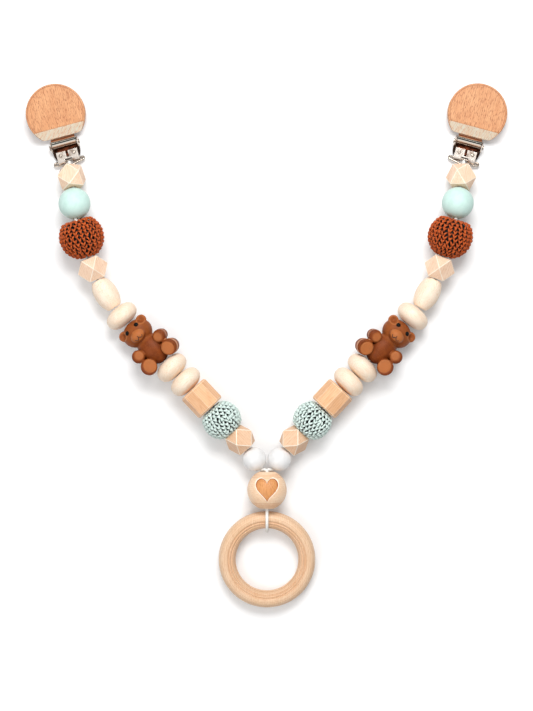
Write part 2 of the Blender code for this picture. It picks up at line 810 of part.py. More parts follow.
def make_wire(name, points, diameter, colour, matrix, closed=False):
    curve = bpy.data.curves.new(name, "CURVE")
    curve.dimensions = "3D"
    curve.bevel_depth = diameter / 2
    curve.bevel_resolution = 2
    curve.use_fill_caps = True
    curve.resolution_u = 1
    spline = curve.splines.new("POLY")
    spline.points.add(len(points) - 1)
    for slot, point in zip(spline.points, points):
        slot.co = (*point, 1.0)
    spline.use_smooth = True
    spline.use_cyclic_u = closed
    item = bpy.data.objects.new(name, curve)
    bpy.context.scene.collection.objects.link(item)
    item.matrix_world = matrix
    value, roughness, metallic = colours[colour]
    curve.materials.append(make_material(name, value, roughness, metallic))
    return item


def make_cord(name, points, origin):
    """One length of cord through the given points, its origin on the joint that carries it."""
    return make_wire(name, [point - origin for point in points], cord_diameter, "white_cord",
                     Matrix.Translation(origin))


def cord_loop(plan, mouth, axis):
    """The end of the cord: out of the last bead, down and round the tip of the bail."""
    radius = bail_wire / 2 + cord_loop_play + cord_diameter / 2
    outward = plan["outward"]
    up = Vector((0, 0, 1))
    tip = plan["tip"]
    bend = tip + outward * radius + up * (mouth.z - tip.z) / 2
    start = mouth + axis * cord_diameter / 2
    points = [start, start.lerp(bend, 0.5) + outward * cord_diameter / 4, bend]
    for step in range(cord_loop_steps + 1):
        angle = -math.radians(cord_loop_turn) * step / cord_loop_steps
        points.append(tip + (outward * math.cos(angle) + up * math.sin(angle)) * radius)
    return points


def make_clip(side, plan):
    matrix = clip_matrix(plan)
    bar = Vector((0, 0, bar_height()))
    pin = Vector((0, pin_reach, pin_height))

    def placed(shape, joint):
        def maker(work):
            shape(work)
            bmesh.ops.translate(work, vec=-joint, verts=work.verts)
        return maker

    across = Matrix.Rotation(math.pi / 2, 4, "Y")
    hole = pin_diameter / 2 + fixed_gap
    base = finish(f"{side}_clip_base", placed(base_shape, bar), "nickel", matrix @ Matrix.Translation(bar))
    thicken(base)
    cut(base, f"{side}_base_pin_hole", lambda work: rod(work, hole, base_width + cut_overrun),
        Matrix.Translation(pin - bar) @ across)
    at_pin = matrix @ Matrix.Translation(pin)
    lever = finish(f"{side}_clip_lever", placed(lever_shape, pin), "nickel", at_pin)
    thicken(lever)
    cut(lever, f"{side}_lever_pin_hole", lambda work: rod(work, hole, base_width), across)
    disc = finish(f"{side}_clip_disc", placed(disc_shape, pin), "orange_wood", at_pin)
    finish(f"{side}_jaw_pad", placed(pad_shape, bar), "clear_plastic", matrix @ Matrix.Translation(bar))

    half = base_width / 2 + moving_gap
    head = half + pin_head_length
    radius = pin_diameter / 2
    wide = pin_head_diameter / 2
    pin_profile = [(0, head), (wide, head), (wide, half), (radius, half), (radius, -half), (wide, -half),
                   (wide, -head), (0, -head)]
    finish(f"{side}_pivot_pin", lambda work: turned(work, pin_profile, bore_segments), "nickel",
           at_pin @ across)

    under = lever_height() - sheet / 2 - fixed_gap
    top = rivet_depth
    rivet_profile = [(0, top), (rivet_diameter / 2, top), (rivet_diameter / 2, 0), (rivet_head_diameter / 2, 0),
                     (rivet_head_diameter / 2, -rivet_head_height), (0, -rivet_head_height)]
    reaches = {"front": bar_reach + pad_start - rivet_pad_room, "rear": disc_cut_start() + rivet_edge}
    for place, reach in reaches.items():
        spot = Vector((0, reach, under))
        finish(f"{side}_{place}_rivet", lambda work: turned(work, rivet_profile, bore_segments), "nickel",
               matrix @ Matrix.Translation(spot))
        radius = rivet_diameter / 2 + fixed_gap
        deep = rivet_depth + fixed_gap
        for item in (lever, disc):
            cut(item, f"{item.name}_{place}_hole", lambda work, r=radius, d=deep: rod(work, r, 2 * d),
                Matrix.Translation(spot - pin))
    make_bail(f"{side}_bail", matrix, plan["tip"])


def make_strand(side, beads, plan):
    for place, bead in enumerate(beads):
        make_bead(side, len(beads) - place, bead)
    starts = [place + 1 for place in cord_ends_after]
    ends = [*starts[1:], len(beads)]
    for number, (start, end) in enumerate(zip(starts, ends), 1):
        run = beads[start:end]
        before = beads[start - 1]
        on_ball = before["kind"] in ("white", "mint")
        pivot = before["centre"] if on_ball else (before["outer"] + run[0]["inner"]) / 2
        points = through_beads(run)
        if end == len(beads):
            points.extend(cord_loop(plan, run[-1]["outer"], run[-1]["axis"]))
        make_cord(f"{side}_cord_{number}", points, pivot)


def build():
    clear_scene()
    rest = heart_bead_diameter / 2
    sides = ((-1, "left", left_headings, left_turns), (1, "right", right_headings, right_turns))
    plans = [plan_clip(sign, lay_out(sign, headings, turns, Vector((0, 0, rest))))
             for sign, side, headings, turns in sides]
    radius = disc_diameter / 2
    top = max(plan["disc"].y for plan in plans) + radius
    bottom = -heart_bead_diameter / 2 - ring_heart_gap - ring_diameter
    middle = (plans[0]["disc"].x + plans[1]["disc"].x) / 2
    heart_centre = Vector((-middle, -(top + bottom) / 2, rest))
    strands = []
    for sign, side, headings, turns in sides:
        beads = lay_out(sign, headings, turns, heart_centre)
        plan = plan_clip(sign, beads)
        make_strand(side, beads, plan)
        make_clip(side, plan)
        strands.append(beads)
    make_heart_and_ring(heart_centre, strands)


build()
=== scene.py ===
"""Pram chain toy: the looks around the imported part. Lengths are in metres, and the toy lies on z = 0, front up."""
import json
import math

import bmesh
import bpy
import numpy as np
from mathutils import Matrix, Vector
from mathutils.bvhtree import BVHTree


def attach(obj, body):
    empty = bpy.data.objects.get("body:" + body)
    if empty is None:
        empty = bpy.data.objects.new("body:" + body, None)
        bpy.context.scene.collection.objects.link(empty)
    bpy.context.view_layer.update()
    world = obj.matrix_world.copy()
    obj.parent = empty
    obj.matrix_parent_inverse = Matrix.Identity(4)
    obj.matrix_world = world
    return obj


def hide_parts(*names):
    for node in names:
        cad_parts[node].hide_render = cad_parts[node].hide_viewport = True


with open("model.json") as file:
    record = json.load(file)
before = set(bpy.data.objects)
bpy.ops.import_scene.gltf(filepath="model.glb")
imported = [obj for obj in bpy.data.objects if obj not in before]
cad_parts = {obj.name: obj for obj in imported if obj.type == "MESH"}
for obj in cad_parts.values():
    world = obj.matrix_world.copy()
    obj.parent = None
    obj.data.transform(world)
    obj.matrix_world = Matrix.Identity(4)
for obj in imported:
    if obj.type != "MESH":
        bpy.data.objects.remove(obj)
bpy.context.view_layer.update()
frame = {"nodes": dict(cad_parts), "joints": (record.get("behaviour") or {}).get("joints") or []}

# The photograph's frame
pixel = 0.561e-3
image_width = 533
image_height = 711
camera_height = 0.961
focus_height = 0.011
heart_pixel = (267.0, 489.9)
sensor = 36

# Sizes that repeat the part's
cord_diameter = 0.00174
bead_bore = 0.0030
moving_gap = 0.0003
fixed_gap = 0.00015
heart_diameter = 0.0222
heart_bore = 0.0052
heart_flare = 0.0016
cord_spacing = 0.0022
white_diameter = 0.0134
mint_diameter = 0.0178
facet_edge = 0.0090
barrel_length = 0.0147
lens_diameter = 0.0188
lens_thickness = 0.0107
oval_length = 0.0178
oval_diameter = 0.0134
oval_end = 0.0076
rust_diameter = 0.0255
rust_clip_half = 0.0099
rust_heart_half = 0.0117
mint_cover_diameter = 0.0222
mint_cover_half = 0.0086
cover_mouth = 0.0034
teddy_length = 0.0292
ring_diameter = 0.0545
ring_wall = 0.0096
ring_thickness = 0.0098
disc_diameter = 0.0334
disc_thickness = 0.0060
disc_cut_slant = 0.0048
disc_cut_start = 0.0134
bar_reach = 0.0262
sheet = 0.0007
bail_wire = 0.0014
bail_width = 0.0185
bail_depth = 0.0032
bail_corner_radius = 0.0008
bail_apex_radius = 0.0050
bail_rise = 0.0013
bar_height = sheet + fixed_gap + bail_wire / 2
disc_low = 0.0040
tongue_top = bar_height + fixed_gap + bail_wire / 2 + sheet
tongue_low = tongue_top - 1.3 * sheet

# Sizes of the looks
round_segments = 96
bore_ease = 0.00025
ball_ease = 0.0002
# Widths of the eased edges that carry the painted highlight on the facet and barrel beads
painted_highlight_edge = 0.00028
barrel_painted_highlight_edge = 0.00016
metal_edge = 0.00010
pad_edge = 0.00012
weld_distance = 0.000005
sharp_edge = math.radians(28)
# The disc's fine groove and its line of painted shade, where the rounded edge begins
disc_shade_line = 0.0156
disc_edge = 0.0009
disc_saw_edge = 0.00022
disc_grain_turn = 0.27
dimple_radius = 0.00085
dimple_place = (0.00385, 0.0034)
flank_low = 0.0001
flank_edge = 0.00012
wire_play = 0.00008
heart_width = 0.0124
heart_rise = 0.0004
heart_stretch = 1.175
heart_sunk = 0.00055
# How far the pale ring of painted highlight reaches round the heart
heart_highlight_ring = 1.09
heart_grooves = (-0.0093, -0.0086, -0.0079, -0.0070, 0.0072, 0.0081, 0.0088)
heart_groove_depth = 0.00008
heart_groove_width = 0.00016
ring_lines = [(0.0182, 0.8), (0.0189, 0.35), (0.0196, 1.0), (0.0203, 0.4), (0.0210, 0.9), (0.0217, 0.3),
              (0.0223, 0.7), (0.0230, 0.3), (0.0238, 0.5), (0.0249, 0.25), (0.0260, 0.3)]
ring_line_depth = 0.00009
ring_line_width = 0.00017

kinds = ["facet", "mint", "rust_cover", "facet", "oval", "lens", "teddy", "lens", "lens", "barrel", "mint_cover",
         "facet", "white"]
halves = {
    "facet": (facet_edge / math.sqrt(2),) * 2,
    "mint": (math.sqrt(mint_diameter ** 2 - bead_bore ** 2) / 2,) * 2,
    "white": (math.sqrt(white_diameter ** 2 - bead_bore ** 2) / 2,) * 2,
    "rust_cover": (rust_heart_half, rust_clip_half),
    "mint_cover": (mint_cover_half,) * 2,
    "oval": (oval_length / 2,) * 2,
    "lens": (lens_thickness / 2,) * 2,
    "teddy": (teddy_length / 2,) * 2,
    "barrel": (barrel_length / 2,) * 2,
}
crochets = {
    "rust_cover": {"diameter": rust_diameter, "yarn": 0.00047, "row": 0.00215, "stitch": 0.00292, "lift": 0.00060,
                   "rim": 0.00028, "tones": ((214, 96, 32), (118, 44, 10)), "slot": "rust_yarn"},
    "mint_cover": {"diameter": mint_cover_diameter, "yarn": 0.00051, "row": 0.00200, "stitch": 0.00262,
                   "lift": 0.00050, "rim": 0.0, "tones": ((238, 252, 247), (190, 217, 208)), "slot": "mint_yarn"},
}
teddy_turns = {"left": -5, "right": 5}
joints = {item["name"]: item for item in frame["joints"]}
sides = ("left", "right")


def bore_matrix(centre, axis, turn=0):
    """Local Z along the bore and local Y to the front, turned about the bore."""
    front = (Vector((0, 0, 1)) - axis * axis.z).normalized()
    matrix = Matrix((front.cross(axis), front, axis)).transposed().to_4x4()
    matrix.translation = centre
    return matrix @ Matrix.Rotation(math.radians(turn), 4, "Z")


def spin_matrix(name, turn=0):
    joint = joints[name]
    return bore_matrix(Vector(joint["pos_m"]), Vector(joint["axis"]).normalized(), turn)


def clip_matrix(side):
    """Local Y points from the beads to the disc and Z up; the origin is on the floor under the bail's bar."""
    joint = joints[f"{side}_clip_tilt"]
    across = Vector(joint["axis"]).normalized()
    matrix = Matrix((across, Vector((-across.y, across.x, 0)), Vector((0, 0, 1)))).transposed().to_4x4()
    matrix.translation = Vector(joint["pos_m"]) - Vector((0, 0, bar_height))
    return matrix


heart_matrix = spin_matrix("heart_spin")
heart_centre = heart_matrix.translation.copy()
beads = {(side, number + 1): (kind, spin_matrix(f"{side}_bead_{number + 1:02d}_spin",
                                                teddy_turns[side] if kind == "teddy" else 0))
         for side in sides for number, kind in enumerate(kinds)}
clips = {side: clip_matrix(side) for side in sides}


# Materials

def colour(red, green, blue):
    """A display colour, 0 to 255, as a linear one."""
    shares = [value / 255 for value in (red, green, blue)]
    return (*[share / 12.92 if share <= 0.04045 else ((share + 0.055) / 1.055) ** 2.4 for share in shares], 1.0)


def linear(shade):
    """The linear colour of a grey share or of a display tone of three numbers; a linear colour stays."""
    if isinstance(shade, (int, float)):
        return (shade, shade, shade, 1.0)
    return colour(*shade) if len(shade) == 3 else shade


def feed(tree, socket, value):
    if isinstance(value, bpy.types.NodeSocket):
        tree.links.new(value, socket)
    else:
        socket.default_value = linear(value) if socket.type == "RGBA" else value


def add_node(tree, kind, inputs, output=0, **settings):
    """One output of a new node whose settings are made and whose inputs are linked or set."""
    made = tree.nodes.new("ShaderNode" + kind)
    for name, value in settings.items():
        setattr(made, name, value)
    for name, value in inputs.items():
        feed(tree, made.inputs[name], value)
    return made.outputs[output]


def add_ramp(tree, value, stops):
    made = tree.nodes.new("ShaderNodeValToRGB")
    while len(made.color_ramp.elements) < len(stops):
        made.color_ramp.elements.new(1.0)
    for element, (position, shade) in zip(made.color_ramp.elements, stops):
        element.position = position
        element.color = linear(shade)
    feed(tree, made.inputs["Fac"], value)
    return made.outputs["Color"]


class Shader:
    """A Principled material under construction, with short calls for its nodes."""

    def __init__(self, name, roughness=0.5, metallic=0.0, matrix=None):
        self.material = bpy.data.materials.new(name)
        self.material.use_nodes = True
        self.tree = self.material.node_tree
        self.bsdf = self.tree.nodes["Principled BSDF"]
        given = self.tree.nodes.new("ShaderNodeTexCoord").outputs
        metres = given["Object"]
        self.normal = given["Normal"]
        if matrix is not None:
            metres = self.local(metres, matrix, matrix.translation)
            self.normal = self.local(self.normal, matrix, (0, 0, 0))
        self.millimetres = self.scaled(metres, (1000, 1000, 1000))
        self.made({"Roughness": roughness, "Metallic": metallic})

    def local(self, vector, matrix, origin):
        return add_node(self.tree, "Mapping", {"Vector": vector, "Location": origin, "Rotation": matrix.to_euler()},
                        vector_type="TEXTURE")

    def axis(self, vector, letter):
        return add_node(self.tree, "SeparateXYZ", {0: vector}, letter)

    def scaled(self, vector, scale, offset=(0, 0, 0), rotation=(0, 0, 0)):
        return add_node(self.tree, "Mapping", {"Vector": vector, "Scale": scale, "Location": offset,
                                               "Rotation": rotation})

    def noise(self, scale, detail=3, roughness=0.5, vector=None, offset=(0, 0, 0)):
        """Noise in millimetres, or along the given vector; a scale of three numbers stretches it along the axes."""
        vector = self.millimetres if vector is None else vector
        if isinstance(scale, tuple):
            vector, scale = self.scaled(vector, scale, offset), 1.0
        return add_node(self.tree, "TexNoise", {"Vector": vector, "Scale": scale, "Detail": detail,
                                                "Roughness": roughness}, "Fac")

    def ramp(self, value, stops):
        return add_ramp(self.tree, value, stops)

    def mix(self, first, second, factor):
        return add_node(self.tree, "Mix", {0: factor, 6: first, 7: second}, 2, data_type="RGBA")

    def blend(self, first, second, value, low, high, most=1.0):
        """The second tone over the first as the value goes from low to high, up to a share."""
        return self.mix(first, second, self.ramp(value, [(low, 0.0), (high, most)]))

    def math(self, operation, first, second=0.0):
        return add_node(self.tree, "Math", {0: first, 1: second}, operation=operation)

    def sum_of_squares(self, first, second):
        return self.math("ADD", self.math("MULTIPLY", first, first), self.math("MULTIPLY", second, second))

    def attribute(self, name):
        return add_node(self.tree, "Attribute", {}, "Fac", attribute_name=name)

    def made(self, values, bump=None):
        """The material with these values on its sockets and a bump of (height, strength, distance)."""
        for socket, value in values.items():
            feed(self.tree, self.bsdf.inputs[socket], value)
        if bump:
            height, strength, distance = bump
            feed(self.tree, self.bsdf.inputs["Normal"], add_node(
                self.tree, "Bump", {"Strength": strength, "Distance": distance, "Height": height}, "Normal"))
        return self.material


def shaded(tone, share):
    return tuple(value * share for value in tone)


def wood_material(name, tones, matrix=None, turn=(0, 0, 0), flecks=0.5, seed=0.0, figure=0.5, fleck_length=0.35,
                  turned=False, rim=None, fleck_level=0.60):
    """Beech: soft growth bands, fine fibres and short darker flecks, all along local Z after the turn.

    A turned piece is darker in its grooves, and a rim is a line of painted shade at a distance from the local Z axis.
    """
    light, middle, dark = tones
    shader = Shader(name, matrix=matrix)
    along = shader.scaled(shader.millimetres, (1, 1, 1), (seed * 7.3, seed * 3.1, seed * 5.7), turn)
    bands = add_node(shader.tree, "TexWave", {
        "Vector": shader.scaled(along, (0.30, 0.12, 0.035)), "Scale": 1.0, "Distortion": 5.0, "Detail": 3,
        "Detail Scale": 1.5}, "Fac", wave_type="BANDS", bands_direction="X")
    fibres = shader.noise((3.2, 3.2, 0.16), 4, 0.6, along)
    patches = shader.noise((0.22, 0.22, 0.10), 3, 0.5, along)
    grains = shader.noise((2.6, 2.6, fleck_length), 2, 0.4, along)
    base = shader.blend(light, middle, bands, 0.2, 0.85, figure)
    base = shader.blend(base, middle, patches, 0.38, 0.68, 0.7)
    base = shader.blend(base, dark, fibres, 0.45, 0.75, 0.55)
    base = shader.blend(base, dark, grains, fleck_level, fleck_level + 0.07, flecks)
    if turned:
        base = shader.mix(base, dark, shader.attribute("depth"))
    # Painted shade: a dark line where the rounded edge begins
    if rim:
        x, y = (shader.axis(shader.millimetres, letter) for letter in "XY")
        band = shader.math("DIVIDE", shader.math("SQRT", shader.sum_of_squares(x, y)), 2 * rim)
        base = shader.mix(base, dark, shader.ramp(band, [(0.488, 0.0), (0.498, 0.70), (0.504, 0.65), (0.510, 0.0)]))
    height = shader.math("SUBTRACT", fibres, shader.math("MULTIPLY", grains, 0.6))
    return shader.made({"Base Color": base, "Roughness": shader.ramp(fibres, [(0.3, 0.42), (0.8, 0.60)]),
                        "Coat Weight": 0.05}, (height, 0.25, 0.00012))


def end_grain_material(name, tones, turn):
    """Sawn end of the board: pale with close streaks along the thickness."""
    light, middle, dark = tones
    shader = Shader(name, 0.65)
    along = shader.scaled(shader.millimetres, (1, 1, 1), (1.7, 0, 0), turn)
    streaks = shader.noise((1.1, 0.10, 0.10), 3, 0.55, along)
    dots = shader.noise((2.6, 0.35, 0.35), 2, 0.5, along)
    base = shader.blend(light, middle, streaks, 0.42, 0.58)
    base = shader.blend(base, dark, dots, 0.54, 0.66, 0.7)
    return shader.made({"Base Color": base}, (streaks, 0.35, 0.00015))


def paint_material(name, tone, shade, roughness, grain=0.2):
    """Paint on turned wood: even, with a faint raised grain and slightly darker low places."""
    shader = Shader(name, roughness)
    grain_lines = shader.noise((0.9, 0.9, 3.5))
    mottle = shader.noise(0.35)
    base = shader.blend(tone, shade, mottle, 0.42, 0.75, 0.6)
    base = shader.blend(base, shade, grain_lines, 0.55, 0.72, 0.30)
    rough = shader.ramp(mottle, [(0.3, roughness - 0.05), (0.8, roughness + 0.08)])
    return shader.made({"Base Color": base, "Roughness": rough, "Coat Weight": 0.08, "Coat Roughness": 0.3},
                       (grain_lines, grain, 0.0001))


def yarn_material(name, light, dark, seed):
    """Cotton yarn: fine fibres, a little lighter and darker from stitch to stitch, and painted shade by depth."""
    shader = Shader(name, 0.62)
    fibres = shader.noise((6, 6, 6), 4, 0.7, offset=(seed, 0, 0))
    base = shader.blend(light, dark, fibres, 0.40, 0.75, 0.75)
    base = shader.blend(base, dark, shader.noise(0.45, 2), 0.40, 0.80, 0.5)
    # Painted shade: near black on the stitch ends and the inner layer, by the depth attribute
    base = shader.mix(base, shaded(dark, 0.05), shader.attribute("depth"))
    return shader.made({"Base Color": base, "Sheen Weight": 0.06, "Sheen Roughness": 0.4,
                        "Specular IOR Level": 0.30}, (fibres, 0.6, 0.00008))


def cord_material(name):
    """Braided polyester cord."""
    shader = Shader(name, 0.7)
    fibres = shader.noise((5, 5, 5), 4, 0.7)
    base = shader.blend((252, 251, 247), (222, 219, 210), fibres, 0.4, 0.8, 0.8)
    return shader.made({"Base Color": base, "Sheen Weight": 0.15}, (fibres, 0.5, 0.00006))


def silicone_material(name):
    """Brown silicone, lighter on the muzzle and soles, with a painted highlight on the head and a dusty matt bloom.
    """
    shader = Shader(name, 0.55)
    pores = shader.noise(3.0)
    base = shader.blend((130, 60, 14), (98, 40, 8), shader.noise(0.30, 4), 0.40, 0.75, 0.8)
    base = shader.mix(base, (212, 130, 72), shader.attribute("tone"))
    base = shader.mix(base, (206, 140, 96), shader.attribute("rim"))
    base = shader.blend(base, (180, 110, 68), pores, 0.60, 0.70, 0.45)
    return shader.made({"Base Color": base, "Roughness": shader.ramp(pores, [(0.35, 0.46), (0.75, 0.66)]),
                        "Specular IOR Level": 0.2, "Subsurface Weight": 0.04, "Subsurface Scale": 0.001},
                       (pores, 0.18, 0.00008))


def smudged_material(name, roughness, scale, first, second, specular=0.5):
    """Two close tones in soft smudges, for the eyes and the mouth."""
    shader = Shader(name, roughness)
    return shader.made({"Base Color": shader.mix(first, second, shader.noise(scale)),
                        "Specular IOR Level": specular})


def metal_shader(name, matrix):
    return Shader(name, 0.20, 1.0, matrix)


def drawn_metal(shader, base, dull=0.32):
    """The metal finished with faint drawn lines, which make it duller."""
    lines = shader.noise((6, 0.5, 6), 4, 0.6)
    return shader.made({"Base Color": base, "Roughness": shader.ramp(lines, [(0.30, 0.14), (0.75, dull)])},
                       (lines, 0.10, 0.00004))


def metal_material(name, tone=(180, 168, 156), matrix=None):
    """Nickel plate with stained places."""
    shader = metal_shader(name, matrix)
    return drawn_metal(shader, shader.blend(tone, shaded(tone, 0.80), shader.noise(0.5, 4), 0.42, 0.75, 0.7))


def base_shade_material(name, matrix):
    """The clip's base: bright on the tongue and ears, and painted shade below the tongue and between the ears."""
    shader = metal_shader(name, matrix)
    reflections = shader.noise((0.35, 1.6, 0.6), 2)
    # Light brown patches on the bright metal
    brown_patches = shader.noise((0.22, 0.40, 0.40), 1, offset=(3, 1, 0))
    bright = shader.blend((222, 212, 202), (136, 110, 92), brown_patches, 0.48, 0.72, 0.9)
    # Painted shade, near black, mottled with a painted reddish-brown reflection of the wooden disc
    dark = shader.blend((30, 17, 11), (126, 66, 42), reflections, 0.44, 0.66)
    low = shader.math("LESS_THAN", shader.axis(shader.millimetres, "Z"), tongue_low * 1000)
    faces_up = shader.math("GREATER_THAN", shader.axis(shader.normal, "Z"), 0.5)
    across = shader.math("MULTIPLY", shader.axis(shader.millimetres, "X"), shader.axis(shader.normal, "X"))
    inward = shader.math("LESS_THAN", across, -3.0)
    # Painted shade on the up-facing faces below the tongue and on the inward-facing faces between the ears
    shade_mask = shader.math("MAXIMUM", shader.math("MULTIPLY", low, faces_up), inward)
    return drawn_metal(shader, shader.mix(bright, dark, shade_mask))


def painted_lip_material(name, matrix):
    """The lever's plate, whose folded lip is painted with bands of highlight, shadow and reflection."""
    shader = metal_shader(name, matrix)
    waver = shader.noise((0.5, 0.1, 0.1), 2)
    across = shader.math("ADD", shader.axis(shader.millimetres, "Y"), shader.math("MULTIPLY", waver, 0.25))
    share = shader.math("DIVIDE", shader.math("SUBTRACT", across, 8.1), 5.0)
    # Painted light across the lip: painted shade at both ends, painted highlights, a painted shadow line in the fold
    # and a painted orange reflection of the disc
    bands = [(0.00, (96, 60, 42)), (0.08, (156, 100, 72)), (0.15, (236, 200, 172)), (0.28, (238, 226, 212)),
             (0.355, (236, 230, 222)), (0.37, (20, 40, 38)), (0.51, (20, 40, 38)), (0.525, (244, 240, 234)),
             (0.66, (230, 220, 210)), (0.74, (196, 128, 90)), (0.84, (104, 56, 36)), (1.00, (128, 92, 70))]
    # Only the up-facing faces carry the painted bands
    faces_up = shader.math("GREATER_THAN", shader.axis(shader.normal, "Z"), 0.15)
    return drawn_metal(shader, shader.mix((214, 206, 198), shader.ramp(share, bands), faces_up), 0.30)


def plastic_material(name, matrix):
    shader = Shader(name, 0.32, matrix=matrix)
    clouds = shader.noise(0.6)
    return shader.made({"Base Color": shader.mix((232, 232, 228), (206, 206, 200), clouds),
                        "Roughness": shader.ramp(clouds, [(0.3, 0.26), (0.8, 0.42)]),
                        "Transmission Weight": 0.35, "IOR": 1.49})


# Meshes

def link(name, data):
    item = bpy.data.objects.new(name, data)
    bpy.context.scene.collection.objects.link(item)
    return item


def outward(mesh):
    """Turns every face's front to the outside."""
    work = bmesh.new()
    work.from_mesh(mesh)
    bmesh.ops.recalc_face_normals(work, faces=work.faces)
    work.to_mesh(mesh)
    work.free()


def mesh_of(points, faces, indices=None, slots=1, name="made"):
    mesh = bpy.data.meshes.new(name)
    mesh.from_pydata([tuple(point) for point in points], [], [tuple(int(v) for v in face) for face in faces])
    for slot in range(slots):
        mesh.materials.append(None)
    if indices is not None:
        mesh.polygons.foreach_set("material_index", np.array(indices, np.int32))
    outward(mesh)
    return mesh


def mesh_from(work, name):
    mesh = bpy.data.meshes.new(name)
    work.to_mesh(mesh)
    work.free()
    return mesh


def place(name, mesh, matrix, materials, body, stands_for=(), indices=None, smooth=True):
    """A mesh as a piece that rides on its body and stands for its CAD nodes."""
    mesh.validate()
    for material in materials:
        mesh.materials.append(material)
    if indices is not None:
        mesh.polygons.foreach_set("material_index", np.array(indices, np.int32))
    mesh.polygons.foreach_set("use_smooth", np.full(len(mesh.polygons), smooth))
    item = link(name, mesh)
    item.matrix_world = matrix
    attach(item, body)
    if stands_for:
        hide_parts(*stands_for)
    return item


def add(name, points, faces, matrix, material, body, slot, stands_for=()):
    return place(name, mesh_of(points, faces, slots=0, name=name), matrix, [material], body, stands_for)


def store(mesh, label, values):
    """A number for each vertex, which a material reads as an attribute."""
    attribute = mesh.attributes.new(label, "FLOAT", "POINT")
    attribute.data.foreach_set("value", np.asarray(values, np.float32))


def vertex_values(mesh, label):
    values = np.empty(len(mesh.vertices) * 3)
    mesh.vertices.foreach_get(label, values)
    return values.reshape(-1, 3)


def grid(rows, columns, closed=True):
    """Faces between the points of a grid. Each row closes on itself, and the last row may meet the first."""
    faces = []
    for row in range(rows if closed else rows - 1):
        after = (row + 1) % rows
        for column in range(columns):
            beyond = (column + 1) % columns
            faces.append((row * columns + column, after * columns + column, after * columns + beyond,
                          row * columns + beyond))
    return faces


def lathe(profile, segments):
    """Points and faces of a closed profile of (radius, height) turned round the Z axis."""
    angles = np.arange(segments) * 2 * math.pi / segments
    radii, heights = np.array(profile, float).T
    points = np.empty((segments, len(profile), 3))
    points[:, :, 0] = np.cos(angles)[:, None] * radii
    points[:, :, 1] = np.sin(angles)[:, None] * radii
    points[:, :, 2] = heights
    return points.reshape(-1, 3), grid(segments, len(profile))


def lathed(work, profile, segments):
    """The new vertices of a turned profile, with its faces made."""
    points, faces = lathe(profile, segments)
    made = [work.verts.new(point) for point in points]
    for face in faces:
        work.faces.new([made[v] for v in face])
    return made


def spline(points, steps, closed=False):
    """A smooth Catmull-Rom line through the points."""
    given = [np.array(point, float) for point in points]
    count = len(given)
    out = []
    for span in range(count if closed else count - 1):
        p1 = given[span]
        p2 = given[(span + 1) % count]
        p0 = given[span - 1] if closed or span else 2 * p1 - p2
        p3 = given[(span + 2) % count] if closed or span < count - 2 else 2 * p2 - p1
        for step in range(steps):
            t = step / steps
            out.append(0.5 * (2 * p1 + (p2 - p0) * t + (2 * p0 - 5 * p1 + 4 * p2 - p3) * t ** 2
                              + (3 * p1 - p0 - 3 * p2 + p3) * t ** 3))
    if not closed:
        out.append(given[-1])
    return out


def quarter(steps):
    """The sine and cosine of each step of a quarter turn."""
    angles = [step / steps * math.pi / 2 for step in range(steps + 1)]
    return [(math.sin(angle), math.cos(angle)) for angle in angles]


def ball_arc(radius, top, bottom, steps):
    """Points down the side of a ball between two heights."""
    start = math.acos(top / radius)
    stop = math.acos(bottom / radius)
    return [(radius * math.sin(start + (stop - start) * step / steps),
             radius * math.cos(start + (stop - start) * step / steps)) for step in range(steps + 1)]


def bored(outer, ease=bore_ease):
    """Closes an outer profile with a bead's bore, whose mouths are eased."""
    bore = bead_bore / 2
    top = outer[0][1]
    bottom = outer[-1][1]
    return [(bore, top - 2 * ease), (bore + 0.3 * ease, top - ease), *outer,
            (bore + 0.3 * ease, bottom + ease), (bore, bottom + 2 * ease)]


def unit_rows(vectors):
    return vectors / np.linalg.norm(vectors, axis=1)[:, None]


def run_lengths(line):
    """How far along the line each of its points is."""
    return np.concatenate([[0], np.cumsum(np.linalg.norm(np.diff(line, axis=0), axis=1))])


def sweep(path, radius, sides_count, lobes=0, lobe_depth=0.0, twist=0.0, closed=False, radii=1.0):
    """Points and faces of a tube along the path; lobes make it look twisted from as many plies."""
    path = np.array(path, float)
    count = len(path)
    if closed:
        tangents = unit_rows(np.roll(path, -1, 0) - np.roll(path, 1, 0))
    else:
        tangents = unit_rows(np.gradient(path, axis=0))
    normal = np.cross(tangents[0], (0.31, 0.77, 0.55))
    normal /= np.linalg.norm(normal)
    normals = []
    for tangent in tangents:
        normal = normal - tangent * np.dot(normal, tangent)
        normal /= np.linalg.norm(normal)
        normals.append(normal)
    normals = np.array(normals)
    binormals = np.cross(tangents, normals)
    angles = np.arange(sides_count) * 2 * math.pi / sides_count
    shape = 1 + lobe_depth * np.cos(lobes * (angles[None, :] - twist * run_lengths(path)[:, None]))
    scale = radius * (np.ones(count) * radii)
    offsets = (np.cos(angles)[None, :, None] * normals[:, None, :]
               + np.sin(angles)[None, :, None] * binormals[:, None, :])
    points = path[:, None, :] + offsets * (shape * scale[:, None])[:, :, None]
    faces = grid(count, sides_count, closed)
    if not closed:
        faces.append(tuple(range(sides_count)))
        faces.append(tuple((count - 1) * sides_count + column for column in range(sides_count)))
    return points.reshape(-1, 3), faces


def joined(parts):
    """Several point and face lists as one."""
    points = []
    faces = []
    start = 0
    for more_points, more_faces in parts:
        points.append(np.asarray(more_points))
        faces.extend([tuple(v + start for v in face) for face in more_faces])
        start += len(more_points)
    return np.concatenate(points), faces


def applied(item):
    """The item's mesh with its modifiers applied."""
    bpy.context.view_layer.update()
    evaluated = item.evaluated_get(bpy.context.evaluated_depsgraph_get())
    mesh = bpy.data.meshes.new_from_object(evaluated)
    bpy.data.objects.remove(item, do_unlink=True)
    return mesh


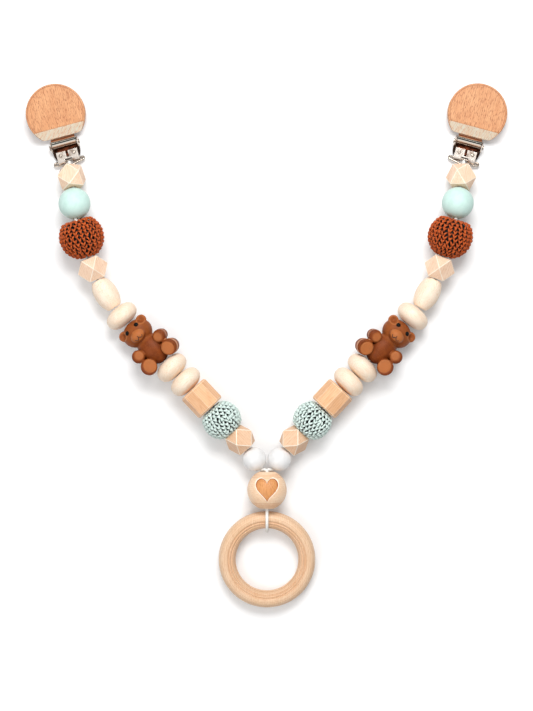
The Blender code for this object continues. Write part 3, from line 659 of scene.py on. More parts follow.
def without(mesh, cutter_mesh):
    """The mesh less the cutter, keeping the cutter's material numbers on the cut faces."""
    item = link("cut", mesh)
    cutter = link("cutter", cutter_mesh)
    modifier = item.modifiers.new("cut", "BOOLEAN")
    modifier.object = cutter
    modifier.solver = "EXACT"
    result = applied(item)
    bpy.data.objects.remove(cutter, do_unlink=True)
    return result


def dress(node, material, bevel=0.0, painted_highlight=None):
    """A CAD node that stays: its own material, its edges eased by a modifier and any painted highlight on them."""
    item = frame["nodes"][node]
    item.data.materials.clear()
    for shown in [material] + ([painted_highlight] if painted_highlight else []):
        item.data.materials.append(shown)
    for polygon in item.data.polygons:
        polygon.material_index = 0
    if bevel:
        weld = item.modifiers.new("weld", "WELD")
        weld.merge_threshold = weld_distance
        edge = item.modifiers.new("eased", "BEVEL")
        edge.width = bevel
        edge.segments = 2
        edge.limit_method = "ANGLE"
        edge.angle_limit = sharp_edge
        # The eased faces take the second material, a painted highlight, when there is one
        edge.material = 1 if painted_highlight else -1


# Camera, floor and light

camera_data = bpy.data.cameras.new("camera")
camera = link("camera", camera_data)
bpy.context.scene.camera = camera
camera.location = (heart_centre.x - (heart_pixel[0] - image_width / 2) * pixel,
                   heart_centre.y + (heart_pixel[1] - image_height / 2) * pixel, camera_height)
camera_data.sensor_width = sensor
camera_data.lens = sensor * (camera_height - focus_height) / (image_height * pixel)

floor_reach = 1.6
floor_drop = 0.0001
floor_mesh = bpy.data.meshes.new("floor")
floor_mesh.from_pydata([(x * floor_reach, y * floor_reach, 0) for x, y in ((-1, -1), (1, -1), (1, 1), (-1, 1))],
                       [], [(0, 1, 2, 3)])
floor = link("floor", floor_mesh)
floor.location.z = -floor_drop
paper = Shader("floor", 0.9)
rays = paper.tree.nodes.new("ShaderNodeLightPath").outputs
seen = paper.math("MAXIMUM", rays["Is Camera Ray"], rays["Is Glossy Ray"])
white = paper.mix((0.955, 0.955, 0.955, 1), (0.935, 0.935, 0.937, 1), paper.noise(0.004, 2))
metres = [paper.math("DIVIDE", paper.axis(paper.millimetres, letter), 1000) for letter in "XY"]
glow = paper.ramp(paper.sum_of_squares(*metres), [(0.03, 0.075), (0.08, 0.12), (0.20, 0.40), (0.50, 0.85)])
paper.made({"Specular IOR Level": 0.1, "Base Color": paper.mix((0.60, 0.60, 0.60, 1), white, seen),
            "Emission Color": (1, 1, 1, 1), "Emission Strength": paper.math("MULTIPLY", seen, glow)})
floor_mesh.materials.append(paper.material)

world = bpy.data.worlds.new("world")
bpy.context.scene.world = world
world.use_nodes = True
sky_tree = world.node_tree
background = sky_tree.nodes["Background"].inputs
rays = sky_tree.nodes.new("ShaderNodeLightPath").outputs
height = add_node(sky_tree, "SeparateXYZ", {0: add_node(sky_tree, "TexCoord", {}, "Generated")}, "Z")
sky = add_ramp(sky_tree, height, [(0.10, (0.05, 0.045, 0.04, 1)), (0.58, (1, 1, 1, 1))])
feed(sky_tree, background["Color"], add_node(
    sky_tree, "Mix", {0: rays["Is Camera Ray"], 6: sky, 7: (1.8, 1.8, 1.8, 1)}, 2, data_type="RGBA"))
feed(sky_tree, background["Strength"], add_node(
    sky_tree, "MapRange", {"Value": rays["Is Glossy Ray"], "To Min": 0.58, "To Max": 0.85}, "Result"))


def softbox(name, location, target, size, energy):
    light = bpy.data.lights.new(name, "AREA")
    light.shape = "RECTANGLE"
    light.size, light.size_y = size
    light.energy = energy
    item = link(name, light)
    item.location = location
    item.rotation_euler = (Vector(target) - Vector(location)).to_track_quat("-Z", "Y").to_euler()


softbox("key", (0.05, 0.50, 0.74), (0, 0.02, 0), (0.50, 0.36), 6.0)
softbox("fill", (-0.45, -0.35, 0.70), (0, 0, 0), (0.45, 0.45), 1.7)
bpy.context.scene.view_settings.view_transform = "Standard"


# Wood tones: light, middle, dark
pale_tones = ((253, 237, 217), (249, 223, 195), (228, 182, 142))
wood_tones = ((253, 224, 199), (245, 206, 173), (216, 164, 122))
heart_tones = ((255, 228, 198), (249, 209, 170), (222, 162, 114))
heart_fill_tones = ((228, 162, 100), (216, 144, 82), (178, 102, 50))
heart_edge_tones = ((200, 122, 74), (184, 104, 58), (140, 74, 40))
facet_tones = ((240, 204, 172), (231, 186, 148), (206, 150, 104))
# The next two tones are painted highlight: on eased edges and round the heart, and on the barrel's edges
painted_highlight_tones = ((255, 244, 228), (255, 236, 214), (248, 218, 188))
barrel_painted_highlight_tones = ((255, 232, 204), (250, 218, 182), (228, 178, 132))
orange_tones = ((243, 196, 152), (234, 176, 126), (198, 130, 82))
disc_tones = ((226, 168, 118), (210, 142, 92), (156, 86, 44))
end_tones = ((255, 246, 226), (255, 230, 200), (228, 170, 124))
ring_tones = ((243, 212, 180), (232, 192, 152), (196, 140, 96))


# Beads

def turned_bead(side, number, kind, matrix, profile, material, slot):
    node = f"{side}_{number:02d}_{kind}"
    add(node + "_turned", *lathe(profile, round_segments), matrix, material, f"{side}_bead_{number:02d}", slot,
        [node])


def lens_piece(side, number, matrix):
    upper = [(0.165, 0.985), (0.24, 0.992), (0.40, 0.955), (0.55, 0.905), (0.78, 0.74), (0.94, 0.46), (1.0, 0.14)]
    shares = upper + [(share, -height) for share, height in reversed(upper)]
    outer = spline([(share * lens_diameter / 2, height * lens_thickness / 2) for share, height in shares], 5)
    seed = number + (0.5 if side == "left" else 0.1)
    material = wood_material(f"{side}_{number:02d}_lens_wood", pale_tones, seed=seed,
                             turn=(0.3 * number, math.pi / 2, 0.2), flecks=0.35, fleck_length=0.5, figure=0.4)
    turned_bead(side, number, "lens", matrix, bored(outer), material, "wood")


def oval_piece(side, number, matrix):
    """An ellipse turned about its long axis and cut flat at both ends."""
    half = oval_length / 2
    flat = math.asin(oval_end / oval_diameter)
    stretch = half / math.cos(flat)
    steps = 40
    end = [(bead_bore / 2 + 0.0004, half), (oval_end / 2 - 0.0005, half)]
    outer = list(end)
    for step in range(steps + 1):
        angle = flat + (math.pi - 2 * flat) * step / steps
        outer.append((oval_diameter / 2 * math.sin(angle), stretch * math.cos(angle) * 0.997))
    outer.extend([(radius, -height) for radius, height in reversed(end)])
    material = wood_material(f"{side}_{number:02d}_oval_wood", pale_tones, seed=3.3 if side == "left" else 8.1,
                             flecks=0.55, fleck_length=0.8, figure=0.25)
    turned_bead(side, number, "oval", matrix, bored(outer), material, "pale_wood")


def ball_piece(side, number, matrix, kind):
    half = halves[kind][0]
    name = f"{side}_{number:02d}_{kind}_paint"
    if kind == "white":
        diameter = white_diameter
        material = paint_material(name, (237, 237, 237), (225, 225, 224), 0.32, grain=0.08)
    else:
        diameter = mint_diameter
        material = paint_material(name, (207, 236, 228), (190, 224, 214), 0.60)
    outer = ball_arc(diameter / 2, half, -half, 48)
    turned_bead(side, number, kind, matrix, bored(outer, ball_ease), material, f"{kind}_paint")


def meridian(diameter, top, bottom, inset, rim):
    """The centre line of the yarn from one mouth to the other: end with a raised rim, ball side, flat end."""
    upper = top - inset
    lower = bottom - inset
    arc = ball_arc(diameter / 2 - inset, upper + rim, -lower, 60)
    mouth = cover_mouth / 2 + inset
    steps = 12
    line = [(mouth, upper)]
    for step in range(1, steps):
        line.append((mouth + (arc[0][0] - mouth) * step / steps, upper + rim * (step / steps) ** 3))
    line.extend(arc)
    for step in range(1, steps + 1):
        line.append((arc[-1][0] + (mouth - arc[-1][0]) * step / steps, -lower))
    line = np.array(line)
    for _ in range(6):
        line[1:-1] = (line[:-2] + 2 * line[1:-1] + line[2:]) / 4
    return line


def crochet_piece(side, number, matrix, kind):
    """Rounds of crochet stitches, each of two yarn arms that spread from its foot, over an inner layer of painted
    shade.
    """
    made = crochets[kind]
    bottom, top = halves[kind]
    yarn, lift = made["yarn"], made["lift"]
    line = meridian(made["diameter"], top, bottom, yarn + lift, made["rim"])
    lengths = run_lengths(line)
    tangents = unit_rows(np.gradient(line, axis=0))

    def surface(along, angle, height):
        """Points at a distance along the line, an angle round the bore and a height off the line."""
        radius, level, out_level, out_radius = (
            np.interp(np.clip(along, 0, lengths[-1]), lengths, values)
            for values in (line[:, 0], line[:, 1], tangents[:, 0], -tangents[:, 1]))
        radius = radius + out_radius * height
        return np.stack([radius * np.cos(angle), radius * np.sin(angle), level + out_level * height], axis=-1)

    rows = round(lengths[-1] / made["row"])
    step = lengths[-1] / rows
    parts = []
    shade_shares = []
    random = np.random.default_rng(number * 10 + (side == "left"))
    bend = np.linspace(0, 1, 7)
    arch = np.sin(bend * math.pi)
    for row in range(rows):
        around = 2 * math.pi * np.interp((row + 0.5) * step, lengths, line[:, 0])
        stitches = max(5, round(around / made["stitch"]))
        pitch = 2 * math.pi / stitches
        for stitch in range(stitches):
            centre = (stitch + 0.37 * row + 0.13 * random.standard_normal()) * pitch
            tilt = 0.08 * random.standard_normal()
            for sign in (-1, 1):
                along = row * step + step * (-0.10 + 1.22 * bend + tilt * sign)
                angle = centre + sign * pitch * (0.03 + 0.45 * np.sin(bend * math.pi * 0.62))
                height = lift * (1.7 * arch - 0.7) + 0.00009 * random.standard_normal()
                parts.append(sweep(surface(along, angle, height), yarn, 8, 3, 0.14, 2400 * sign,
                                   radii=0.72 + 0.34 * arch))
                # Painted shade on the arms' ends, where they go into the fabric
                shade_shares.append(np.repeat(np.clip(1.12 - 1.30 * arch, 0, 1) * 0.94, 8))
    # The inner layer is painted shade, seen through the gaps between the stitches
    inward = -(yarn + lift) * 0.80
    shade_shell = [(max(point[0] - tangent[1] * inward, 0.0012), point[1] + tangent[0] * inward)
             for point, tangent in zip(line[::2], tangents[::2])]
    wall = [(max(r * 0.93, 0.0011), z * 0.93) for r, z in reversed(shade_shell)]
    parts.append(lathe(shade_shell + wall, 64))
    shade_shares.append(np.full(len(parts[-1][0]), 1.0))
    node = f"{side}_{number:02d}_{kind}"
    item = add(node + "_crochet", *joined(parts), matrix, yarn_material(node + "_yarn", *made["tones"], number),
               f"{side}_bead_{number:02d}", made["slot"], [node])
    store(item.data, "depth", np.concatenate(shade_shares))


# The teddy's forms in its bead's frame, where Y is its front and Z its top
teddy_half = teddy_length / 2
teddy_forms = [((0.0150, 0.0146, 0.0196), (0, 0, 0.0098 - teddy_half)),
               ((0.0178, 0.0154, 0.0150), (0, 0, teddy_half - 0.0075)),
               ((0.0092, 0.0078, 0.0070), (0, 0.0064, teddy_half - 0.0092))]
ear_size = (0.0062, 0.0042, 0.0060)
ear_place = (0.0067, 0.0006, teddy_half - 0.0036)
ear_cup = (0.0070, teddy_half - 0.0035)
arm_level = -0.0030
foot_level = -0.0113
skin_voxel = 0.00030
eye_size = (0.0026, 0.0026, 0.0016)
eye_place = (0.0035, teddy_half - 0.0040)
mouth_line = 0.00024
mouth_strokes = [[(0.0001, -0.0094), (0, -0.0103)],
                 [(-0.0024, -0.0104), (-0.0014, -0.0114), (0, -0.0105), (0.0014, -0.0114), (0.0026, -0.0102)]]


def ellipsoid(work, size, centre, detail=4):
    made = bmesh.ops.create_icosphere(work, subdivisions=detail, radius=0.5)
    bmesh.ops.scale(work, vec=size, verts=made["verts"])
    bmesh.ops.translate(work, vec=centre, verts=made["verts"])


def limb(work, radius, length, front_y, centre, edge, splay):
    """A stub that points to the front, with a flat end and a rounded edge."""
    outline = [(0.00001, 0.0), (radius - edge, 0.0)]
    outline.extend([(radius - edge + edge * sine, -edge + edge * cosine) for sine, cosine in quarter(6)[1:]])
    outline.extend([(radius * 0.985, -length * 0.5), (radius * 0.90, -length * 0.8), (radius * 0.5, -length),
                    (0.00001, -length * 1.02)])
    made = lathed(work, outline, 40)
    for angle, letter in ((-math.pi / 2, "X"), (splay, "Z")):
        bmesh.ops.rotate(work, verts=made, cent=(0, 0, 0), matrix=Matrix.Rotation(angle, 3, letter))
    bmesh.ops.translate(work, vec=(centre[0], front_y, centre[1]), verts=made)


def within(distance, reach, fade):
    """1 well inside the reach, fading to 0 at it."""
    return np.clip((reach - distance) / fade, 0, 1)


def teddy_marks(x, y, z, front):
    """How far the skin is pushed in, and how light its tone and its limbs' rims are, at each point, with a painted
    highlight on the head.
    """
    tone, rim, push = np.zeros(len(x)), np.zeros(len(x)), np.zeros(len(x))
    for sign in (-1, 1):
        ear = np.hypot(x - sign * ear_cup[0], z - ear_cup[1])
        push -= 0.0011 * (within(ear, 0.0019, 0.0019) * (y > 0.0012)) ** 0.6
        tone += 0.4 * within(np.abs(ear - 0.0024), 0.0006, 0.0006) * (y > 0.0005)
        sole = np.hypot(x - sign * 0.0067, z - foot_level)
        flat = (y > 0.0062) & (front > 0.35)
        push -= 0.00022 * np.exp(-((sole - 0.0037) / 0.0003) ** 2) * flat
        tone += 0.5 * within(sole, 0.0042, 0.0006) * flat
        out = np.hypot(x - sign * 0.0071, z - foot_level)
        rim += np.clip((out - 0.0041) / 0.0004, 0, 1) * (sign * x > 0.0085) * (y > 0.0048) * (
            z < -0.0065) * within(y, 0.0076, 0.0006)
        rim += 0.7 * within(y, 0.0058, 0.0006) * (sign * x > 0.0100) * (y > 0.0040) * (
            np.abs(z - arm_level) < 0.0030)
        paw = np.hypot(x - sign * 0.0072, z - arm_level)
        tone += 0.45 * within(paw, 0.0032, 0.0012) * (front > 0.4) * (y > 0.005)
    muzzle = np.hypot(x / 0.0045, (z - (teddy_half - 0.0090)) / 0.0033)
    tone += 0.42 * within(muzzle, 1.02, 0.15) * (y > 0.0066)
    # Painted highlight: the front of the head a little lighter
    tone += 0.16 * np.clip((z - (teddy_half - 0.0150)) / 0.0012, 0, 1) * (y > 0)
    return tone, rim, push


def teddy_mesh():
    """One smooth skin over the head, ears, muzzle, body and limbs, in the bead's frame."""
    work = bmesh.new()
    for size, centre in teddy_forms:
        ellipsoid(work, size, centre)
    for sign in (-1, 1):
        ellipsoid(work, ear_size, (sign * ear_place[0], *ear_place[1:]))
        limb(work, 0.0037, 0.0104, 0.0078, (sign * 0.0080, arm_level), 0.0016, sign * 0.16)
        limb(work, 0.0046, 0.0114, 0.0082, (sign * 0.0078, foot_level), 0.0009, sign * 0.14)
    item = link("teddy", mesh_from(work, "teddy"))
    remesh = item.modifiers.new("skin", "REMESH")
    remesh.mode = "VOXEL"
    remesh.voxel_size = skin_voxel
    smooth = item.modifiers.new("smooth", "SMOOTH")
    smooth.iterations = 5
    smooth.factor = 0.5
    mesh = applied(item)
    points = vertex_values(mesh, "co")
    normals = vertex_values(mesh, "normal")
    tone, rim, push = teddy_marks(*points.T, normals[:, 1])
    mesh.vertices.foreach_set("co", (points + normals * push[:, None]).ravel())
    mesh.update()
    store(mesh, "tone", np.clip(tone, 0, 1))
    store(mesh, "rim", np.clip(rim, 0, 1))
    reach = teddy_half * 1.2
    return without(mesh, mesh_of(*sweep([(0, 0, -reach), (0, 0, reach)], bead_bore / 2, 20)))


def on_front(tree, x, z):
    """The point of the figure's front skin at this place, and its normal."""
    return tree.ray_cast(Vector((x, 0.03, z)), Vector((0, -1, 0)))[:2]


def teddy_piece(side, number, matrix, mesh, silicone, black, line):
    node = f"{side}_{number:02d}_teddy"
    body = f"{side}_bead_{number:02d}"
    own = mesh.copy()
    tree = BVHTree.FromPolygons([v.co for v in own.vertices], [p.vertices for p in own.polygons])
    own.materials.clear()
    place(node + "_figure", own, matrix, [silicone], body, [node])
    for label, sign in (("a", -1), ("b", 1)):
        hit, normal = on_front(tree, sign * eye_place[0], eye_place[1])
        work = bmesh.new()
        ellipsoid(work, eye_size, (0, 0, 0), detail=3)
        turn = normal.to_track_quat("Z", "Y").to_matrix().to_4x4()
        place(f"{node}_eye_{label}", mesh_from(work, f"{node}_eye_{label}"),
              matrix @ Matrix.Translation(hit) @ turn, [black], body)
    tubes = []
    for stroke in mouth_strokes:
        path = []
        for x, z in spline(stroke, 5):
            hit, normal = on_front(tree, x, teddy_half + z)
            path.append(hit + normal * mouth_line / 12)
        tubes.append(sweep(path, mouth_line, 8))
    add(node + "_mouth", *joined(tubes), matrix, line, body, "brown_silicone")


# Heart bead and ring

def heart_outline(width, count):
    """A heart in the plane, its point down, about its middle."""
    points = []
    for step in range(count):
        t = 2 * math.pi * step / count
        x = 16 * math.sin(t) ** 3
        y = 13 * math.cos(t) - 5 * math.cos(2 * t) - 2 * math.cos(3 * t) - math.cos(4 * t)
        points.append((x / 32 * width, (y + 2.5) / 32 * width * heart_stretch + heart_rise))
    return points


def heart_cutter(radius):
    """What the heart's hollow takes out of the ball: a pale ring of painted highlight round it, a dark edge and the
    sunk field.
    """
    outline = heart_outline(heart_width, 96)
    count = len(outline)
    above = radius + 0.001
    rings = [(heart_highlight_ring, -0.00003), (1.0, 0.00020)]
    rings.extend([(share, heart_sunk) for share in (1.0, 0.94, 0.75, 0.5, 0.25)])
    points = [(x * heart_highlight_ring, above, y * heart_highlight_ring) for x, y in outline]
    for share, deep in rings:
        for x, y in outline:
            px, pz = x * share, y * share
            points.append((px, math.sqrt((radius - deep) ** 2 - px * px - pz * pz), pz))
    points.extend([(0, radius - heart_sunk, 0), (0, above, 0)])
    faces = []
    indices = []
    last = len(rings) * count
    for step in range(count):
        after = (step + 1) % count
        for level in range(len(rings)):
            faces.append((level * count + step, level * count + after, (level + 1) * count + after,
                          (level + 1) * count + step))
            # Material 3 is the painted highlight round the heart, 2 the dark edge, 1 the sunk field
            indices.append(3 if level < 2 else 2 if level < 4 else 1)
        faces.extend([(last + step, last + after, len(points) - 2), (after, step, len(points) - 1)])
        indices.extend([1, 1])
    return mesh_of(points, faces, indices, 4)


def heart_piece():
    """The ball with the heart sunk into its front; local Z is the bore and local Y the front."""
    radius = heart_diameter / 2
    bore = heart_bore / 2
    top = math.sqrt(radius ** 2 - (bore + heart_flare) ** 2)
    profile = [(r - sum(heart_groove_depth * math.exp(-((z - level) / heart_groove_width) ** 2)
                        for level in heart_grooves), z) for r, z in ball_arc(radius, top, -top, 90)]
    throat = (bore + heart_flare * 0.35, top - heart_flare * 0.4)
    profile.extend([(throat[0], -throat[1]), (bore, -(top - heart_flare)), (bore, top - heart_flare), throat])
    mesh = without(mesh_of(*lathe(profile, 160), slots=4), heart_cutter(radius))
    kept = [polygon.material_index for polygon in mesh.polygons]
    mesh.materials.clear()
    store(mesh, "depth", [0.75 * sum(math.exp(-((vertex.co.z - level) / 0.00018) ** 2) for level in heart_grooves)
                          * (math.hypot(vertex.co.x, vertex.co.y) > 0.005) for vertex in mesh.vertices])
    woods = [wood_material("heart_bead_wood", heart_tones, seed=2.2, turn=(0, math.pi / 2, 0), flecks=0.4,
                           turned=True),
             wood_material("heart_fill_wood", heart_fill_tones, seed=5.2, flecks=0.4),
             wood_material("heart_edge_wood", heart_edge_tones, seed=1.2, flecks=0.3),
             # The painted highlight round the heart
             wood_material("heart_highlight_ring_wood", painted_highlight_tones, seed=3.2, flecks=0.1)]
    item = place("heart_bead_turned", mesh, heart_matrix, woods, "heart", ["heart_bead"], indices=kept)
    for polygon in item.data.polygons:
        polygon.use_smooth = polygon.material_index == 0


def ring_piece():
    """The turned ring: a rounded section with two shallow grooves on its inner half and fine turned lines."""
    points = np.array([v.co for v in frame["nodes"]["ring"].data.vertices])
    normal = Vector(np.linalg.svd(points - points.mean(0), full_matrices=False)[2][2])
    if normal.z <= 0:
        normal = -normal
    middle = (ring_diameter - ring_wall) / 2
    across = Vector((1, 0, 0))
    along = normal.cross(across).normalized()
    matrix = Matrix((across, along, normal)).transposed().to_4x4()
    matrix.translation = Vector(joints["ring_swing"]["pos_m"]) - along * middle
    shares = [(-1.0, 0.0), (-0.96, 0.28), (-0.84, 0.58), (-0.62, 0.84), (-0.34, 0.975), (-0.10, 1.0), (0.06, 0.965),
              (0.12, 0.90), (0.17, 0.845), (0.22, 0.895), (0.29, 0.93), (0.37, 0.90), (0.42, 0.82), (0.47, 0.745),
              (0.53, 0.775), (0.62, 0.765), (0.76, 0.63), (0.90, 0.40), (0.985, 0.14), (1.0, -0.06),
              (0.92, -0.42), (0.66, -0.80), (0.30, -0.97), (0.0, -1.0), (-0.30, -1.0), (-0.62, -0.86), (-0.84, -0.58),
              (-0.96, -0.28)]
    segments = 240
    turned = []
    depth = []
    for radius, height in spline([(middle - share * ring_wall / 2, level * ring_thickness / 2)
                                  for share, level in shares], 14, closed=True):
        cut = sum(weight * math.exp(-((radius - line) / ring_line_width) ** 2)
                  for line, weight in ring_lines) * (height > 0)
        turned.append((radius, height - ring_line_depth * cut))
        depth.append(min(1.0, 0.85 * cut))
    material = wood_material("ring_wood", ring_tones, seed=4.4, turn=(math.pi / 2, 0, 0.2), flecks=0.35,
                             fleck_length=0.5, figure=0.6, turned=True)
    item = add("ring_turned", *lathe(turned, segments), matrix, material, "ring", "wood", ["ring"])
    store(item.data, "depth", np.tile(depth, segments))


# Clips

def disc_piece(side, matrix):
    """The wooden disc with its rounded rim, sawn at a slant on the clip's side."""
    radius = disc_diameter / 2
    high = disc_low + disc_thickness
    outline = [(0.00001, high), (radius * 0.6, high), (disc_shade_line - 0.00025, high), (disc_shade_line, high - 0.00012),
               (disc_shade_line + 0.0002, high - 0.00002)]
    inner = radius - disc_edge
    outline.extend([(inner + disc_edge * sine, high - disc_edge + disc_edge * cosine)
                    for sine, cosine in quarter(8)[1:]])
    outline.extend([(inner + disc_edge * cosine, disc_low + disc_edge - disc_edge * sine)
                    for sine, cosine in quarter(8)])
    outline.extend([(radius * 0.6, disc_low), (0.00001, disc_low)])
    work = bmesh.new()
    lathed(work, outline, 128)
    bmesh.ops.remove_doubles(work, verts=work.verts, dist=0.00003)
    bmesh.ops.recalc_face_normals(work, faces=work.faces)
    slant = Vector((0, -disc_thickness, disc_cut_slant)).normalized()
    cut = bmesh.ops.bisect_plane(work, geom=list(work.verts) + list(work.edges) + list(work.faces),
                                 plane_co=(0, disc_cut_start - bar_reach, disc_low), plane_no=slant, clear_outer=True)
    edges = [item for item in cut["geom_cut"] if isinstance(item, bmesh.types.BMEdge)]
    for face in bmesh.ops.edgeloop_fill(work, edges=edges)["faces"]:
        face.material_index = 1
    bmesh.ops.bevel(work, geom=edges, offset=disc_saw_edge, segments=2, affect="EDGES", profile=0.6)
    bmesh.ops.recalc_face_normals(work, faces=work.faces)
    left = side == "left"
    grain_turn = -disc_grain_turn if left else disc_grain_turn
    # The rim is a line of painted shade where the disc's rounded edge begins
    face = wood_material(f"{side}_disc_wood", disc_tones, seed=1.4 if left else 6.6,
                         turn=(math.pi / 2, 0, grain_turn), flecks=0.70, fleck_length=0.55, figure=0.55,
                         rim=disc_shade_line * 1000, fleck_level=0.555)
    end = end_grain_material(f"{side}_disc_end", end_tones, (0, 0, 0.9 if left else 0.15))
    item = place(f"{side}_clip_disc_turned", mesh_from(work, f"{side}_disc"),
                 matrix @ Matrix.Translation((0, bar_reach, 0)), [face, end], f"{side}_lever",
                 [f"{side}_clip_disc"])
    for polygon in item.data.polygons:
        polygon.use_smooth = abs(polygon.normal.z) < 0.99 and polygon.material_index == 0


def rounded_outline(corners, radii, steps):
    points = []
    for number, (corner, radius) in enumerate(zip(corners, radii)):
        before = (corners[number - 1] - corner).normalized()
        after = (corners[(number + 1) % len(corners)] - corner).normalized()
        half = before.angle(after) / 2
        centre = corner + (before + after).normalized() * radius / math.sin(half)
        start = corner + before * radius / math.tan(half) - centre
        stop = corner + after * radius / math.tan(half) - centre
        turn = start.angle(stop)
        for step in range(steps + 1):
            t = step / steps
            mixed = start * math.sin((1 - t) * turn) + stop * math.sin(t * turn)
            points.append(centre + mixed / math.sin(turn))
    return points


def bail_piece(side, matrix, metal):
    """The triangular wire loop, whose corners are moved out until its bends reach the bail's own size."""
    reach = (bail_width - bail_wire) / 2
    lean = math.atan(bail_depth / reach)
    for _ in range(8):
        corner = reach + bail_corner_radius * (1 / math.sin(lean / 2) - 1)
        depth = bail_depth + bail_apex_radius * (1 / math.cos(lean) - 1)
        lean = math.atan(depth / corner)
    corners = [Vector((-corner, 0, 0)), Vector((corner, 0, 0)), Vector((0, -depth, 0))]
    outline = rounded_outline(corners, [bail_corner_radius, bail_corner_radius, bail_apex_radius], 10)
    path = []
    for number, point in enumerate(outline):
        after = outline[(number + 1) % len(outline)]
        pieces = max(1, round((after - point).length / 0.0008))
        path.extend([point.lerp(after, step / pieces) for step in range(pieces)])
    path = [Vector((point.x, point.y, bar_height - point.y * bail_rise / bail_depth)) for point in path]
    add(f"{side}_bail_wire", *sweep(path, bail_wire / 2 - wire_play, 20, closed=True), matrix, metal,
        f"{side}_bail_loop", "nickel", [f"{side}_bail"])


def dimple_pieces(side, matrix, metal):
    """Two small pressed domes on the tongue of the clip's base."""
    radius = dimple_radius
    outline = [(0.00001, 0.00022), (radius * 0.35, 0.00018), (radius * 0.7, 0.00030), (radius, 0.00016),
               (radius * 1.25, 0.0), (radius * 1.25, -0.0002), (0.00001, -0.0002)]
    for label, sign in (("a", -1), ("b", 1)):
        centre = Matrix.Translation((sign * dimple_place[0], dimple_place[1], tongue_top))
        add(f"{side}_tongue_dimple_{label}", *lathe(outline, 32), matrix @ centre, metal, f"{side}_clip", "nickel")


def shade_flank_pieces(side, matrix, metal):
    """Webs for the ears' forward walls between the tongue and the ears of the clip's base, dark as painted shade."""
    outline = [(0.00625, 0.0018), (0.00680, 0.0015), (0.00755, 0.0034), (0.00785, 0.0062), (0.00625, 0.0062)]
    for label, sign in (("a", -1), ("b", 1)):
        work = bmesh.new()
        low = [work.verts.new((sign * x, y, flank_low)) for x, y in outline]
        high = [work.verts.new((sign * x, y, 0.0012 + 0.30 * (y - 0.0015))) for x, y in outline]
        work.faces.new(low)
        work.faces.new(high)
        for step in range(len(outline)):
            after = (step + 1) % len(outline)
            work.faces.new((low[step], low[after], high[after], high[step]))
        bmesh.ops.recalc_face_normals(work, faces=work.faces)
        bmesh.ops.bevel(work, geom=list(work.edges), offset=flank_edge, segments=2, affect="EDGES", profile=0.5)
        place(f"{side}_base_shade_flank_{label}", mesh_from(work, f"{side}_flank_{label}"), matrix, [metal],
              f"{side}_clip", smooth=False)


# Cords

def braid(name, path, body, node, material):
    """Replaces a length of cord by a braided one along the same route."""
    fine = spline(path, 6)
    parts = [sweep(fine, cord_diameter / 2 / 1.05, 20, 5, 0.07, twist) for twist in (900, -900)]
    add(name, *joined(parts), Matrix.Identity(4), material, body, "white_cord", [node])


def cord_loop(side, mouth, axis):
    """Out of the last bead, down and round the bail's tip, as in the part."""
    radius = bail_wire / 2 + 0.0001 + cord_diameter / 2
    matrix = clips[side]
    forward = matrix.to_3x3() @ Vector((0, 1, 0))
    up = Vector((0, 0, 1))
    tip = matrix @ Vector((0, -bail_depth, bar_height + bail_rise))
    bend = tip + forward * radius + up * (mouth.z - tip.z) / 2
    start = mouth + axis * cord_diameter / 2
    points = [start, start.lerp(bend, 0.5) + forward * cord_diameter / 4, bend]
    for step in range(9):
        angle = -math.radians(240) * step / 8
        points.append(tip + (forward * math.cos(angle) + up * math.sin(angle)) * radius)
    return points


def bore_axis(matrix):
    return matrix.to_3x3() @ Vector((0, 0, 1))


def run_points(side, number):
    """The mouths and the middle of one bead, from its heart side to its clip side."""
    kind, matrix = beads[side, number]
    axis = bore_axis(matrix)
    inner, outer = halves[kind]
    centre = matrix.translation
    return [centre - axis * inner, centre.copy(), centre + axis * outer]


def cords(material):
    """The four lengths on each side and the one through the heart bead and round the ring."""
    runs = {1: (12, 11, 10, 9), 2: (8, 7, 6), 3: (5, 4, 3, 2), 4: (1,)}
    for side in sides:
        for number, members in runs.items():
            path = [point for member in members for point in run_points(side, member)]
            if number == 4:
                path.extend(cord_loop(side, path[-1], bore_axis(beads[side, 1][1])))
            braid(f"{side}_cord_{number}_braid", path, f"{side}_strand_{number}", f"{side}_cord_{number}", material)
    mouth = math.sqrt((heart_diameter / 2) ** 2 - (heart_bore / 2 + heart_flare) ** 2)
    pivot = Vector(joints["ring_swing"]["pos_m"])
    cord_radius = cord_diameter / 2
    x, middle = heart_centre.x, heart_centre.y
    upper = heart_centre.z + cord_spacing / 2
    lower = heart_centre.z - cord_spacing / 2
    route = run_points("left", 13)[::-1]
    route.extend([Vector((x, y, upper)) for y in (middle + mouth, middle, middle - mouth)])
    for step in range(13):
        angle = math.radians(75 + 260 * step / 12)
        route.append(pivot + Vector((0, math.cos(angle), math.sin(angle))) * (pivot.z - cord_radius))
    route.extend([Vector((x, pivot.y + ring_wall / 2 + cord_radius + moving_gap, pivot.z)),
                  Vector((x, middle - mouth - moving_gap, lower - cord_radius / 2)),
                  Vector((x, middle - mouth + heart_flare, lower)),
                  Vector((x, middle, lower)), Vector((x, middle + mouth, lower))])
    route.extend(run_points("right", 13))
    braid("ring_cord_braid", route, "middle_cord", "ring_cord", material)


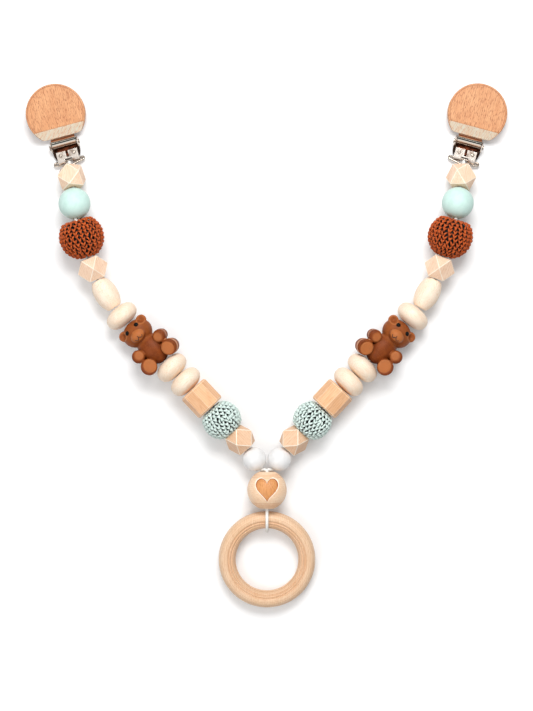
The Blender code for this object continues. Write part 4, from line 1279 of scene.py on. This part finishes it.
silicone = silicone_material("brown_silicone")
black = smudged_material("eye_black", 0.50, 1.2, (5, 4, 4), (14, 11, 10), 0.12)
line_brown = smudged_material("mouth_brown", 0.55, 1.6, (52, 26, 14), (84, 44, 25))
figure = teddy_mesh()
for (side, number), (kind, matrix) in beads.items():
    node = f"{side}_{number:02d}_{kind}"
    if kind == "lens":
        lens_piece(side, number, matrix)
    elif kind == "oval":
        oval_piece(side, number, matrix)
    elif kind in ("white", "mint"):
        ball_piece(side, number, matrix, kind)
    elif kind in crochets:
        crochet_piece(side, number, matrix, kind)
        core = node.replace("_cover", "_core")
        dress(core, wood_material(core + "_wood", pale_tones, matrix, seed=number))
    elif kind == "teddy":
        teddy_piece(side, number, matrix, figure, silicone, black, line_brown)
    elif kind == "facet":
        tones = facet_tones if number == 12 else wood_tones
        seed = number + (0.4 if side == "left" else 0)
        # The second material is a painted highlight on the eased edges
        dress(node, wood_material(node + "_wood", tones, matrix, seed=seed, flecks=0.5, fleck_length=0.5), painted_highlight_edge,
              wood_material(node + "_worn", painted_highlight_tones, matrix, seed=seed, flecks=0.2))
    elif kind == "barrel":
        seed = 2.0 if side == "left" else 7.7
        # The second material is a painted highlight on the eased edges
        dress(node, wood_material(node + "_wood", orange_tones, matrix, seed=seed, flecks=0.4, fleck_length=0.2),
              barrel_painted_highlight_edge, wood_material(node + "_worn", barrel_painted_highlight_tones, matrix, seed=seed, flecks=0.2))
heart_piece()
ring_piece()
cords(cord_material("white_cord"))
nickel = metal_material("nickel")
# A dark nickel whose colour is painted shade, for the webs between the tongue and the ears
shade = metal_material("shade_nickel", (60, 42, 33))
for side, matrix in clips.items():
    disc_piece(side, matrix)
    bail_piece(side, matrix, nickel)
    dimple_pieces(side, matrix, nickel)
    shade_flank_pieces(side, matrix, shade)
    plate = metal_material(f"{side}_plate_nickel", matrix=matrix)
    dress(f"{side}_clip_base", base_shade_material(f"{side}_base_nickel", matrix), metal_edge)
    dress(f"{side}_clip_lever", painted_lip_material(f"{side}_lever_nickel", matrix), metal_edge)
    for label in ("pivot_pin", "front_rivet", "rear_rivet"):
        dress(f"{side}_{label}", plate, metal_edge)
    dress(f"{side}_jaw_pad", plastic_material(f"{side}_pad_plastic", matrix), pad_edge)
